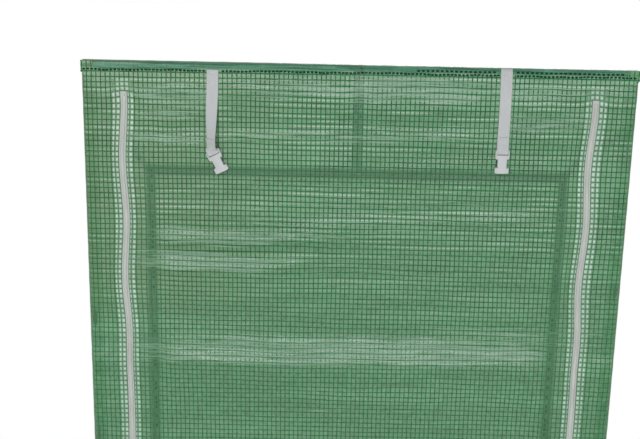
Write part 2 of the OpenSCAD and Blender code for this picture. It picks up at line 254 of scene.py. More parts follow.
# Ledges where the film bellies out below a fold: fold's height, foot of its slope, end of the belly, how far
# it stands out, middle, reach, lean
LEDGES = np.array([
    (1.508, 1.454, 1.330, 0.0084, 0.02, 0.50, 0.004),
    (1.704, 1.680, 1.655, 0.0029, -0.23, 0.15, -0.010),
    (1.654, 1.628, 1.590, 0.0033, -0.22, 0.16, -0.024),
    (1.984, 1.940, 1.890, 0.0016, 0.08, 0.24, 0.004),
    (1.890, 1.876, 1.850, 0.0011, 0.02, 0.30, 0.006),
    (1.566, 1.545, 1.520, 0.0014, 0.16, 0.20, 0.010),
    (1.746, 1.722, 1.700, 0.0012, 0.12, 0.24, 0.012),
    (1.250, 1.205, 1.100, 0.0040, -0.06, 0.30, 0.010),
    (1.010, 0.960, 0.840, 0.0064, 0.00, 0.50, -0.004),
    (0.760, 0.720, 0.640, 0.0036, 0.08, 0.28, -0.012),
    (0.508, 0.460, 0.340, 0.0062, -0.02, 0.50, 0.005),
    (0.260, 0.225, 0.160, 0.0026, 0.06, 0.30, 0.008),
])

# Places where the film is crinkled most: middle across, middle up, half width, half height, how much
CRINKLED = [
    (0.02, 1.482, 0.46, 0.030, 0.60), (-0.22, 1.664, 0.17, 0.036, 1.00), (0.20, 1.962, 0.20, 0.026, 0.75),
    (-0.10, 1.958, 0.12, 0.022, 0.55), (-0.33, 1.885, 0.06, 0.050, 0.70), (0.02, 1.876, 0.34, 0.016, 0.60),
    (0.20, 1.735, 0.22, 0.020, 0.35), (0.10, 1.620, 0.20, 0.022, 0.30), (0.05, 1.400, 0.30, 0.030, 0.35),
    (0.00, 0.985, 0.46, 0.034, 0.95), (-0.15, 0.800, 0.20, 0.040, 0.60), (0.16, 1.180, 0.20, 0.040, 0.60),
    (0.00, 0.488, 0.46, 0.034, 0.95), (0.18, 0.640, 0.18, 0.040, 0.55), (-0.12, 0.260, 0.24, 0.040, 0.55),
]

# Zones of painted glare, where the creased film catches the light: middle across, middle up, half width, half
# height, lean, how much
GLARE_ZONES = np.array([
    (-0.02, 1.4820, 0.44, 0.0290, 0.020, 1.02), (0.26, 1.5230, 0.22, 0.0120, 0.020, 0.62),
    (-0.23, 1.6910, 0.14, 0.0180, -0.020, 1.14), (-0.04, 1.7010, 0.20, 0.0090, 0.010, 0.66),
    (-0.27, 1.6460, 0.14, 0.0190, -0.045, 1.16), (-0.14, 1.6520, 0.16, 0.0090, -0.010, 0.64),
    (0.05, 1.7280, 0.15, 0.0080, 0.050, 0.66), (0.09, 1.7860, 0.20, 0.0080, -0.010, 0.54),
    (0.22, 1.7520, 0.20, 0.0120, 0.020, 0.52), (-0.06, 1.8750, 0.34, 0.0100, 0.004, 0.84),
    (0.08, 1.9570, 0.14, 0.0260, 0.004, 1.08), (-0.12, 1.9560, 0.14, 0.0220, 0.004, 0.76),
    (-0.315, 1.9440, 0.09, 0.0240, 0.060, 0.94), (-0.32, 1.8690, 0.08, 0.0120, 0.010, 0.98),
    (-0.33, 1.9110, 0.06, 0.0120, -0.050, 0.90), (0.32, 1.9080, 0.11, 0.0190, 0.010, 0.80),
    (0.33, 1.9560, 0.12, 0.0220, 0.000, 0.72), (0.02, 1.3640, 0.20, 0.0080, 0.010, 0.50),
    (0.00, 1.7400, 0.34, 0.0620, 0.030, 0.46), (-0.08, 1.6300, 0.30, 0.0300, 0.010, 0.40),
    (0.10, 1.8900, 0.34, 0.0300, 0.004, 0.42), (0.00, 1.2300, 0.30, 0.0140, 0.012, 0.60),
    (0.00, 0.9850, 0.46, 0.0260, -0.006, 0.95), (-0.14, 0.8000, 0.20, 0.0140, 0.020, 0.66),
    (0.16, 0.6400, 0.20, 0.0140, -0.018, 0.66), (0.00, 0.4880, 0.46, 0.0240, 0.006, 0.90),
    (-0.12, 0.2600, 0.24, 0.0160, -0.012, 0.62),
])


def folds(x, z):
    """Sum over the folds of height times a bell across the fold's gently waving line, fading at its ends."""
    number, z0, x0, lean, out, wide, reach = columns(FOLDS, x)
    line = z0 + lean * (x - x0) + 0.0022 * wave(x, 0.31, 1.7 * number)
    line = line + 0.0009 * wave(x, 0.083, 2.9 * number)
    swell = 0.75 + 0.25 * wave(x, 0.17, 2.3 * number)
    return (out * swell * np.exp(-((z - line) / wide) ** 2) * np.exp(-((x - x0) / reach) ** 4)).sum(0)


def ledges(x, z):
    """Sum over the ledges of a smooth step out below the fold's line, drawn back in towards the belly's
    end."""
    number, fold, foot, end, out, x0, reach, lean = columns(LEDGES, x)
    shift = lean * (x - x0) + 0.004 * wave(x, 0.43, 2.1 * number)
    shift = shift + 0.0015 * wave(x, 0.125, 1.1 * number)
    z = z - shift
    step = (1 - ease(z, foot, fold)) * ease(z, end, foot)
    return (out * step * np.exp(-((x - x0) / reach) ** 4)).sum(0)


def held_share(x, z):
    """How free the film is at a place, from 0 where a tube, a zip or the seam holds it to 1 between them."""
    posts = 1 - 0.85 * bell(np.abs(x), POST_X, 0.022)
    zips = 1 - 0.9 * bell(np.abs(x), ZIP_X, 0.035)
    lintel = 1 - 0.9 * bell(z, LINTEL_Z, 0.026)
    strut = 1 - 0.8 * bell(x, 0, 0.018) * ease(z, LINTEL_Z - 0.01, LINTEL_Z + 0.01)
    straps = 1 - 0.75 * bell(np.abs(x), STRAP_X, 0.028) * ease(z, 1.78, 1.83)
    seam = ease(SEAM_Z - z, 0.002, 0.03)
    foot = ease(z, FLAP_FOOT_Z + 0.02, 0.12)
    return posts * zips * lintel * strut * straps * seam * foot


def lattice_noise(x, z, wide, tall, seed, size=256):
    """Smooth noise from -1 to 1: seeded heights on a lattice of cells wide by tall, blended between by a
    quintic step, so that its slope is smooth too."""
    table = np.random.default_rng(seed).uniform(-1, 1, (size, size))
    u, v = x / wide + 100.0, z / tall + 20.0
    i, j = np.floor(u).astype(int), np.floor(v).astype(int)
    u, v = u - i, v - j
    u, v = u ** 3 * (u * (6 * u - 15) + 10), v ** 3 * (v * (6 * v - 15) + 10)
    under = table[j % size, i % size] * (1 - u) + table[j % size, (i + 1) % size] * u
    over = table[(j + 1) % size, i % size] * (1 - u) + table[(j + 1) % size, (i + 1) % size] * u
    return under * (1 - v) + over * v


def crinkle_share(x, z):
    """How crinkled the film is at a place: a little everywhere, and more in soft oval patches."""
    share = np.full(np.shape(x), 0.22)
    for across, up, half_wide, half_high, much in CRINKLED:
        share = share + much * np.exp(-((x - across) / half_wide) ** 4 - ((z - up) / half_high) ** 2)
    return share


def crinkles(x, z):
    """Fine level creases: two sizes of noise stretched along the width, on lines that lean and wave a
    little, sharpened so that the crests are narrow."""
    lean = z + 0.028 * x + 0.004 * wave(x, 0.36)
    broad = lattice_noise(x, lean, 0.150, 0.021, 11)
    fine = lattice_noise(x, lean - 0.016 * x, 0.080, 0.0105, 23)
    crest = 1 - 2 * np.abs(lattice_noise(x, lean, 0.190, 0.017, 37)) ** 0.8
    return (0.0013 * broad + 0.0007 * fine + 0.0005 * crest) * crinkle_share(x, z)


def bulge(x, z):
    """How far the film stands out from its flat place: slow level waves, folds, ledges and crinkles, times
    how free it is there, less the groove at the seam with its gathers."""
    slow = 0.0011 * wave(z, 0.27, 0.9 * wave(x, 0.85))
    slow = slow + 0.0006 * wave(z / 0.121 + x / 1.9, 1.0, 1.3)
    slow = slow + 0.0004 * wave(z / 0.053 - x / 0.71, 1.0, 0.6 + wave(x, 0.29))
    below = SEAM_Z - z
    groove = 0.0008 * bell(below, 0, 0.004)
    gathers = 0.0003 * wave(x, 0.037, wave(x, 0.21)) * bell(below, 0.008, 0.010)
    return (slow + folds(x, z) + ledges(x, z) + crinkles(x, z)) * held_share(x, z) - groove + gathers


def glare_mark(x, z, step=0.002):
    """How much painted glare the film gets: the strongest of the soft oval zones, on lines that wave a
    little, and a share of how far the film's face leans up to catch the light, the bulge's slope over a step
    up and a step down."""
    lean = (bulge(x, z - step) - bulge(x, z + step)) / (2 * step)
    number, x0, z0, wide, tall, tilt, much = columns(GLARE_ZONES, x)
    line = z0 + tilt * (x - x0) + 0.0025 * wave(x, 0.27, 1.9 * number)
    zone = (much * np.exp(-((x - x0) / wide) ** 4 - ((z - line) / tall) ** 4)).max(0)
    # Painted glare: the zones, and more where the film's face leans up toward the light.
    return zone + 0.22 * ease(lean, 0.03, 0.22)


def zip_sway(z):
    """How far the zips wander sideways: slow waves along the height, and a stronger one near the top."""
    slow = 0.0007 * wave(z, 0.62, 0.4) + 0.0003 * wave(z, 0.19, 1.1)
    return slow + (0.0024 * np.cos(2 * np.pi * (z - 1.72) / 0.22) - 0.0018) * ease(z, 1.40, 1.56)


def sway_share(z):
    """How much of the zip's sway is felt: none above the slit's end, all of it a little below that."""
    return ease(SLIT_TOP_Z + 0.02 - z, 0, 0.05)


def seam_slope(x):
    """How the seam rises from left to right."""
    return SEAM_RISE * ease(x, -0.42, 0.1)


def film_points(x, z, out=0.0):
    """Place on the film: moved sideways with the zip beside it, lifted to the seam's slope near the top, its
    rows wavering where it is free, and standing out from its flat place by its bulge and by out."""
    x, z = np.broadcast_arrays(np.asarray(x, float), np.asarray(z, float))
    near = bell(np.abs(x), ZIP_X, 0.03) * sway_share(z)
    slope = seam_slope(x) * ease(z, 1.93, SEAM_Z) * (1 - ease(z, SEAM_Z, SEAM_Z + 0.012))
    free = held_share(x, z) * ease(FLAP_HALF - np.abs(x), 0.0, 0.02)
    sag = free * (0.0017 * (0.6 + crinkle_share(x, z)) * lattice_noise(x, z, 0.12, 0.024, 51)
                  + 0.0022 * lattice_noise(x, z, 0.24, 0.07, 53))
    sag = sag + 0.0042 * bell(np.abs(x), ZIP_X, 0.018) * bell(z, SLIT_TOP_Z, 0.016)
    aside = near * zip_sway(z) + 0.0008 * free * lattice_noise(x, z, 0.05, 0.09, 67)
    return np.stack([x + aside, FILM_Y - bulge(x, z) - out, z + slope + sag], -1)


# Grid of threads, shared by every piece of film, with ten more each side for the jamb strips
SPARE = 10
THREAD_X = (np.arange(-SPARE, CELLS_ACROSS + SPARE) + 0.5) * PITCH_X - FLAP_HALF
THREAD_Z = (np.arange(CELLS_UP) + 0.5) * PITCH_Z + FLAP_FOOT_Z


def lines_between(start, end, step_at, clear=2e-4):
    """The two ends and every given line that lies well between them."""
    inside = step_at[(step_at > start + clear) & (step_at < end - clear)]
    return np.concatenate([[start], inside, [end]])


def film_rows(start, end):
    """Rows of the film: at each level thread, half way between, and at both ends."""
    return lines_between(start, end, np.sort(np.concatenate([THREAD_Z, THREAD_Z - PITCH_Z / 2])))


def film_patch(x_low, x_high, z_low, z_high):
    """A flat-cut rectangle of film as points, quads and uv, on the grid of threads."""
    x, z = np.meshgrid(lines_between(x_low, x_high, THREAD_X), film_rows(z_low, z_high))
    return film_points(x, z), grid_quads(*x.shape), np.stack([x, z], -1)


def thread_patch(x_low, x_high, z_low, z_high, clear=1e-3):
    """The raised threads of a rectangle of film: each is a low ridge of three lines, edge, crest, edge, that
    follows the film. Upright threads and level threads are two lists of (points, quads, uv)."""
    x_at = THREAD_X[(THREAD_X > x_low + clear) & (THREAD_X < x_high - clear)]
    z_at = THREAD_Z[(THREAD_Z > z_low + clear) & (THREAD_Z < z_high - clear)]
    side = np.array([-1.0, 0.0, 1.0]) * THREAD_HALF
    lift = np.array([-THREAD_SUNK, THREAD_H, -THREAD_SUNK])
    upright, level = [], []
    if len(x_at):
        z = film_rows(z_low, z_high)
        p = film_points(x_at[:, None], z[None, :])[:, :, None, :] + np.zeros((1, 1, 3, 3))
        p[..., X] += side
        p[..., Y] -= lift
        q = repeat_quads(grid_quads(len(z), 3), len(x_at), len(z) * 3)
        upright.append((p, q, spread(x_at[:, None, None] + side, z[None, :, None])))
    if len(z_at):
        x = lines_between(x_low, x_high, THREAD_X)
        z = z_at[:, None, None] + side
        p = film_points(x[None, :, None], z)
        p[..., Y] -= lift * 0.9
        q = repeat_quads(grid_quads(len(x), 3)[:, ::-1], len(z_at), len(x) * 3)
        level.append((p, q, spread(x[None, :, None], z)))
    return upright, level


# Swept shapes

def end_cap(count):
    """Quads that close a ring of an even number of points: each joins two neighbours to the two across."""
    k = np.arange(count // 2 - 1)
    return np.stack([k, k + 1, count - 2 - k, count - 1 - k], -1)


def closed_tube(rows, count):
    """Quads of a tube held ring by ring, with both ends closed."""
    cap = end_cap(count)
    return np.concatenate([grid_quads(rows, count, wrap=True), cap[:, ::-1], cap + (rows - 1) * count])


def sweep(section, centre, across, out):
    """A closed profile carried along a path: each point of the section is centre + across * a + out * b. The
    uv is the way across the section and along the path. The faces turn outward whichever way the path
    runs."""
    a, b = section[:, 0], section[:, 1]
    rings = centre[:, None, :] + across[:, None, :] * a[None, :, None] + out[:, None, :] * b[None, :, None]
    quads = closed_tube(len(rings), len(a))
    if (np.cross(out, np.gradient(centre, axis=0)) * across).sum() < 0:
        quads = quads[:, ::-1]
    run = np.concatenate([[0], np.cumsum(np.linalg.norm(np.diff(centre, axis=0), axis=1))])
    return rings, quads, spread(a[None, :], run[:, None])


def ring_angles(count):
    """Evenly spaced angles once round."""
    return np.arange(count) * 2 * np.pi / count


def squared(value, power):
    """A sine or cosine drawn out towards a square wave by a power below 1, with its sign kept."""
    return np.sign(value) * np.abs(value) ** power


def band_section(width, thick, count=16):
    """Section of a woven band: a flat oblong with round edges, a squared-off ellipse walked by angle."""
    t = ring_angles(count)
    return np.stack([squared(np.cos(t), 0.35) * width / 2, squared(np.sin(t), 0.6) * thick / 2], -1)


def round_section(radius, count=8):
    """Section of a cord: a circle walked by angle."""
    t = ring_angles(count)
    return radius * np.stack([np.cos(t), np.sin(t)], -1)


def stitch_rows(points, along, out, length, radius, widen=1.0):
    """Short stitches, one at each point: each is a thin tube, widen times as wide as it is thick, that dips
    into the cloth at both ends, its height half a sine wave along its length."""
    t = np.array([-0.5, -0.4, 0.0, 0.4, 0.5])
    girth = radius * np.array([0.5, 0.95, 1.0, 0.95, 0.5])
    ring = np.arange(6) * np.pi / 3
    side = np.cross(out, along) * widen
    middles = points[:, None, :] + along[:, None, :] * (t * length)[None, :, None]
    middles = middles + out[:, None, :] * (radius * (1.6 * np.cos(np.pi * t) - 0.7))[None, :, None]
    turn = side[:, None, None, :] * np.cos(ring)[None, None, :, None]
    turn = turn + out[:, None, None, :] * np.sin(ring)[None, None, :, None]
    p = middles[:, :, None, :] + turn * girth[None, :, None, None]
    q = repeat_quads(closed_tube(len(t), len(ring)), len(points), len(t) * len(ring))
    uv = spread(ring[None, :] * 1e-3, t[:, None] * length)
    return p, q, np.broadcast_to(uv, (len(points), *uv.shape))


# Material helpers

class Mix:
    """The mixing of one paint: short calls that add nodes to its shader tree and give their results."""

    def __init__(self, tree):
        """Keeps the tree that the calls add to."""
        self.tree = tree

    def add(self, kind, inputs=None, **settings):
        """One shader node with its settings, and its inputs either set or linked."""
        node = self.tree.nodes.new(kind)
        for key, value in settings.items():
            setattr(node, key, value)
        for key, value in (inputs or {}).items():
            if isinstance(value, bpy.types.NodeSocket):
                self.tree.links.new(value, node.inputs[key])
            else:
                node.inputs[key].default_value = value
        return node

    def link(self, **ends):
        """Results linked to a shader's inputs: the name tells the input, the value is (result, shader)."""
        for name, (result, shader) in ends.items():
            self.tree.links.new(result, shader.inputs[name.replace("_", " ")])

    def sums(self, operation, a, b=0.0, clamp=False):
        """One Math node."""
        return self.add("ShaderNodeMath", {0: a, 1: b}, operation=operation, use_clamp=clamp).outputs[0]

    def times(self, first, *others, clamp=False):
        """Values multiplied."""
        for other in others:
            first = self.sums("MULTIPLY", first, other, clamp)
        return first

    def most(self, first, *others):
        """The largest of some values."""
        for other in others:
            first = self.sums("MAXIMUM", first, other)
        return first

    def plus(self, a, b, clamp=False):
        """Two values added."""
        return self.sums("ADD", a, b, clamp)

    def minus(self, a, b):
        """One value less another."""
        return self.sums("SUBTRACT", a, b)

    def off(self, value, centre):
        """How far a value lies from a centre."""
        return self.sums("ABSOLUTE", self.minus(value, centre))

    def without(self, mask, share=1.0):
        """One less a share of a mask."""
        return self.minus(1.0, self.times(mask, share))

    def span(self, value, start, end, to_start=0.0, to_end=1.0, kind="SMOOTHSTEP"):
        """A value taken from one range to another."""
        inputs = {"Value": value, "From Min": start, "From Max": end, "To Min": to_start, "To Max": to_end}
        return self.add("ShaderNodeMapRange", inputs, interpolation_type=kind).outputs[0]

    def fade(self, value, start, end):
        """1 below the start, 0 past the end, and a smooth step between."""
        return self.span(value, start, end, 1.0, 0.0)

    def blend(self, share, a, b):
        """Two colours mixed."""
        return self.add("ShaderNodeMix", {0: share, 6: a, 7: b}, data_type="RGBA").outputs[2]

    def parts(self, vector):
        """The three parts of a vector."""
        return self.add("ShaderNodeSeparateXYZ", {0: vector}).outputs

    def joined(self, a, b):
        """Two values as one flat vector."""
        return self.add("ShaderNodeCombineXYZ", {0: a, 1: b}).outputs[0]

    def place(self):
        """Object coordinates."""
        return self.add("ShaderNodeTexCoord").outputs["Object"]

    def uv(self):
        """The piece's own flat place in metres."""
        return self.add("ShaderNodeUVMap", uv_map="UVMap").outputs[0]

    def noise(self, vector, wide, tall, detail):
        """Flat noise stretched by its two scales."""
        vector = self.add("ShaderNodeMapping", {"Vector": vector, "Scale": (wide, tall, 1.0)}).outputs[0]
        inputs = {"Vector": vector, "Scale": 1.0, "Detail": detail}
        return self.add("ShaderNodeTexNoise", inputs, noise_dimensions="2D").outputs["Fac"]

    def bump(self, height, strength, distance):
        """A normal tilted by a height."""
        inputs = {"Strength": strength, "Distance": distance, "Height": height}
        return self.add("ShaderNodeBump", inputs).outputs[0]

    def use(self, group, **inputs):
        """A group placed in a material, and its outputs. An underscore in a name stands for a space."""
        inputs = {name.replace("_", " "): value for name, value in inputs.items()}
        return self.add("ShaderNodeGroup", inputs, node_tree=group).outputs


def new_group(name, inputs, outputs):
    """A shader node group with named sockets: inputs as (name, kind, value), outputs by name as values."""
    tree = bpy.data.node_groups.new(name, "ShaderNodeTree")
    for title, kind, value in inputs:
        socket = tree.interface.new_socket(title, in_out="INPUT", socket_type="NodeSocket" + kind)
        if value is not None:
            socket.default_value = value
    for title in outputs:
        tree.interface.new_socket(title, in_out="OUTPUT", socket_type="NodeSocketFloat")
    return Mix(tree), tree.nodes.new("NodeGroupInput").outputs


def close_group(mix, **results):
    """The group's results linked to its outputs, and the finished group."""
    ending = mix.tree.nodes.new("NodeGroupOutput")
    for name, result in results.items():
        mix.tree.links.new(result, ending.inputs[name])
    return mix.tree


def tint(r, g, b):
    """A colour written as screen values from 0 to 255."""
    c = np.array([r, g, b]) / 255
    c = np.where(c <= 0.04045, c / 12.92, ((c + 0.055) / 1.055) ** 2.4)
    return (*c.tolist(), 1.0)


def new_paint(name, **plain):
    """A material with one Principled shader, its plain values set on the shader's own sockets."""
    paint = bpy.data.materials.new(name)
    paint.use_nodes = True
    mix = Mix(paint.node_tree)
    mix.tree.nodes.clear()
    shader = mix.add("ShaderNodeBsdfPrincipled", {k.replace("_", " "): v for k, v in plain.items()})
    mix.add("ShaderNodeOutputMaterial", {"Surface": shader.outputs[0]})
    return paint, mix, shader


# Shared effects

def make_thread_line():
    """Mask of evenly spaced lines: the distance to the nearest line, over its half width and a soft edge."""
    mix, come = new_group("Thread line", [
        ("Place", "Float", 0.0), ("Pitch", "Float", 0.008), ("Start", "Float", 0.0),
        ("Half width", "Float", 0.0006), ("Soft", "Float", 0.0003),
    ], ["Line", "Cell"])
    count = mix.sums("DIVIDE", mix.minus(come["Place"], come["Start"]), come["Pitch"])
    gap = mix.times(mix.off(mix.sums("FRACT", count), 0.5), come["Pitch"])
    slim = mix.minus(come["Half width"], come["Soft"])
    wide = mix.plus(come["Half width"], come["Soft"])
    return close_group(mix, Line=mix.fade(gap, slim, wide), Cell=mix.sums("FLOOR", mix.plus(count, 0.5)))


def make_fine_grain():
    """Two sizes of noise: a fine one for the surface's tooth and a broad one for its patches."""
    mix, come = new_group("Fine grain", [
        ("Vector", "Vector", None), ("Fine", "Float", 900.0), ("Broad", "Float", 14.0),
    ], ["Tooth", "Patch"])
    fine = mix.add("ShaderNodeTexNoise", {"Vector": come["Vector"], "Scale": come["Fine"], "Detail": 2.0})
    broad = mix.add("ShaderNodeTexNoise", {"Vector": come["Vector"], "Scale": come["Broad"], "Detail": 4.0})
    return close_group(mix, Tooth=fine.outputs["Fac"], Patch=mix.span(broad.outputs["Fac"], 0.3, 0.7))


def make_dust():
    """Mask of dust: more of it near the ground, broken up by noise, and a thin veil on faces that look up."""
    mix, come = new_group("Dust and scuffs", [
        ("Vector", "Vector", None), ("Amount", "Float", 0.4), ("Reach", "Float", 0.35),
    ], ["Dust", "Scuff"])
    near_ground = mix.fade(mix.sums("DIVIDE", mix.parts(come["Vector"])[Z], come["Reach"]), 0.0, 1.0)
    patch = {"Vector": come["Vector"], "Scale": 23.0, "Detail": 5.0, "Roughness": 0.65}
    broken = mix.span(mix.add("ShaderNodeTexNoise", patch).outputs["Fac"], 0.38, 0.72)
    up = mix.parts(mix.add("ShaderNodeNewGeometry").outputs["Normal"])[Z]
    top = mix.times(mix.span(up, 0.4, 1.0), 0.3, broken)
    dust = mix.times(mix.plus(mix.times(near_ground, broken), top), come["Amount"], clamp=True)
    stretch = mix.add("ShaderNodeMapping", {"Vector": come["Vector"], "Scale": (60.0, 60.0, 14.0)}).outputs[0]
    marks = {"Vector": stretch, "Scale": 3.0, "Detail": 6.0, "Roughness": 0.7}
    worn = mix.span(mix.add("ShaderNodeTexNoise", marks).outputs["Fac"], 0.60, 0.72)
    return close_group(mix, Dust=dust, Scuff=mix.times(worn, come["Amount"], clamp=True))


def make_weave():
    """Herringbone of a woven band: rows of short yarns whose lean turns over at each rib, as a wave along
    the band shifted by a zigzag across it. Rise is the yarn's height, and the other output is painted shade
    in the gaps between yarns."""
    mix, come = new_group("Herringbone weave", [
        ("Across", "Float", 0.0), ("Along", "Float", 0.0), ("Rib", "Float", 0.005), ("Yarn", "Float", 0.0016),
    ], ["Rise", "Gap"])
    zigzag = mix.sums("PINGPONG", mix.sums("DIVIDE", come["Across"], come["Rib"]), 0.5)
    count = mix.plus(mix.sums("DIVIDE", come["Along"], come["Yarn"]), mix.times(zigzag, 2.0))
    edge = mix.span(mix.off(zigzag, 0.25), 0.19, 0.25, 1.0, 0.55)
    rise = mix.times(mix.span(mix.sums("PINGPONG", count, 0.5), 0.0, 0.4), edge)
    return close_group(mix, Rise=rise, Gap=mix.fade(rise, 0.0, 0.5))


thread_line = make_thread_line()
fine_grain = make_fine_grain()
dust_and_scuffs = make_dust()
herringbone = make_weave()
DUST = tint(190, 178, 152)


# Paint of the film

def net_lines(mix, spot, half_wide, soft):
    """Masks of the upright and the level threads at one half width."""
    size = {"Half_width": half_wide, "Soft": soft}
    upright = mix.use(thread_line, Place=spot.x, Pitch=PITCH_X, Start=-FLAP_HALF, **size)
    return upright, mix.use(thread_line, Place=spot.z, Pitch=PITCH_Z, Start=FLAP_FOOT_Z, **size)


def tube_shade_masks(mix, spot):
    """Masks of painted shade on the strips of film in front of the door posts, the lintel and the strut,
    where the tubes behind keep light from coming through.
    """
    def near(value, centre):
        """Mask of painted shade on the strip in front of one tube."""
        return mix.fade(mix.off(value, centre), TUBE_R - 0.003, TUBE_R + 0.002)
    post = mix.times(near(spot.wide, POST_X), mix.fade(spot.z, LINTEL_Z, LINTEL_Z + TUBE_R))
    beam = mix.times(near(spot.z, LINTEL_Z), mix.fade(spot.wide, POST_X, POST_X + TUBE_R))
    prop = mix.times(near(spot.wide, 0.0), mix.span(spot.z, LINTEL_Z - TUBE_R, LINTEL_Z))
    return post, beam, prop


def film_spot(mix):
    """What the film's colours depend on: flat place, threads, noises, what lies behind it, and the painted
    shade of the tubes behind it.
    """
    spot = SimpleNamespace(uv=mix.uv())
    spot.x, spot.z = mix.parts(spot.uv)[:2]
    spot.wide = mix.sums("ABSOLUTE", spot.x)
    spot.upright, spot.level = net_lines(mix, spot, 0.0009, 0.0004)
    spot.net = mix.most(spot.upright["Line"], spot.level["Line"])
    cell = mix.joined(spot.upright["Cell"], spot.level["Cell"])
    spot.chance = mix.add("ShaderNodeTexWhiteNoise", {"Vector": cell}, noise_dimensions="2D").outputs["Value"]
    spot.milk = mix.span(mix.noise(spot.uv, 3.0, 24.0, 5.0), 0.40, 0.70)
    spot.mottle = mix.noise(spot.uv, 120.0, 120.0, 3.0)
    spot.ripple = mix.noise(spot.uv, 9.0, 230.0, 3.0)
    spot.lofty = mix.span(spot.z, 1.42, 1.86)
    spot.from_zip = mix.minus(spot.wide, ZIP_X)
    spot.tape = mix.times(mix.span(spot.from_zip, -TAPE_HALF + 0.002, -TAPE_HALF + 0.004),
                          mix.fade(spot.from_zip, TAPE_HALF - 0.002, TAPE_HALF),
                          mix.fade(spot.z, TAPE_TOP_Z - 0.003, TAPE_TOP_Z + 0.003))
    # Masks of painted shade where the tubes lie behind the film.
    spot.post, spot.beam, spot.prop = tube_shade_masks(mix, spot)
    spot.tube = mix.most(spot.post, spot.prop, spot.beam)
    spot.plain = mix.times(mix.span(spot.wide, POST_X - 0.012, POST_X - 0.008),
                           mix.fade(spot.wide, 0.383, 0.391),
                           mix.fade(spot.z, LINTEL_Z - 0.006, LINTEL_Z + 0.010))
    return spot


def thread_colour(mix, spot):
    """Green of the threads: darker higher up with still darker clumps and knots, lighter in plain strips, and
    painted shade where the lintel lies behind.
    """
    grain = mix.span(spot.mottle, 0.3, 0.7)
    clump = mix.span(mix.noise(spot.uv, 15.0, 24.0, 2.0), 0.48, 0.66, 0.0, 0.7)
    under = mix.blend(grain, tint(40, 98, 60), tint(52, 114, 71))
    over = mix.blend(grain, tint(24, 86, 46), tint(35, 104, 58))
    colour = mix.blend(spot.lofty, under, mix.blend(clump, over, tint(6, 64, 30)))
    colour = mix.blend(mix.times(spot.level["Line"], spot.lofty, 0.55), colour, tint(16, 98, 54))
    colour = mix.blend(mix.times(spot.upright["Line"], spot.level["Line"], 0.4), colour, tint(10, 68, 34))
    colour = mix.blend(mix.times(spot.plain, 0.6), colour, tint(58, 108, 70))
    # Painted shade on the threads in front of the lintel.
    return mix.blend(mix.times(spot.beam, 0.5), colour, tint(44, 94, 58))


def cell_glow(mix, spot):
    """Rows of cells that catch the light: a thin line in each row, in stretches picked by noise, none near
    the lintel and few low down."""
    row = mix.joined(mix.times(spot.x, 7.0), mix.times(spot.level["Cell"], 0.83))
    glint = mix.use(thread_line, Place=mix.plus(spot.z, PITCH_Z * 0.45), Pitch=PITCH_Z, Start=FLAP_FOOT_Z,
                    Half_width=0.0012, Soft=0.0009)["Line"]
    calm = mix.span(mix.off(spot.z, LINTEL_Z + 0.010), 0.020, 0.034)
    lit = mix.span(mix.noise(row, 1.0, 1.0, 2.0), 0.48, 0.66)
    return mix.times(lit, glint, mix.span(spot.lofty, 0.0, 1.0, 0.10, 0.85), calm)


def corner_crease_shade(mix, spot):
    """Mask of painted shade in the fold that runs up and out from each of the lintel's corners: a short band
    along a line that leans by its sine and cosine."""
    lean, rise = 0.633, 0.774
    east, north = mix.minus(spot.wide, POST_X + 0.002), mix.minus(spot.z, LINTEL_Z + 0.004)
    aside = mix.off(mix.times(east, rise), mix.times(north, lean))
    along = mix.plus(mix.times(east, lean), mix.times(north, rise))
    length = mix.times(mix.span(along, -0.006, 0.002), mix.fade(along, 0.030, 0.055))
    return mix.times(mix.fade(aside, 0.003, 0.009), length)


def tube_shade_dots(mix, spot):
    """Mask of single cells painted dark as shade over the posts' middle line and the upper strut, where the
    tube behind shows dark through the film.
    """
    slim = mix.times(spot.post, mix.fade(mix.off(spot.wide, POST_X), 0.0035, 0.0055))
    strip = mix.most(mix.times(spot.prop, mix.span(spot.z, 1.86, 1.91)), slim)
    return mix.times(strip, spot.core, mix.span(spot.chance, 0.25, 0.55, 0.0, 0.9))


def tape_cells(mix, spot):
    """Mask of the white tape seen through the film, cell by cell, beside the slit and over its end."""
    beside = mix.fade(spot.z, SLIT_TOP_Z - 0.004, SLIT_TOP_Z + 0.004)
    over = mix.span(mix.sums("ABSOLUTE", spot.from_zip), 0.010, 0.014, 0.8, 0.0)
    return mix.times(spot.tape, mix.plus(0.22, mix.times(spot.core, 0.78)),
                     mix.span(spot.milk, 0.0, 1.0, 0.82, 1.0),
                     mix.span(spot.chance, 0.0, 1.0, 0.74, 1.0, "LINEAR"), mix.most(beside, over))


def sleeve_body(mix, spot):
    """Bluer film of the top sleeve with dark and light streaks along it."""
    colour = mix.blend(spot.milk, tint(50, 116, 84), tint(66, 130, 98))
    dark = mix.span(mix.noise(spot.uv, 8.0, 330.0, 2.0), 0.48, 0.60, 0.0, 0.85)
    light = mix.span(mix.noise(spot.uv, 11.0, 260.0, 2.0), 0.56, 0.66, 0.0, 0.6)
    return mix.blend(light, mix.blend(dark, colour, tint(14, 78, 48)), tint(88, 148, 118))


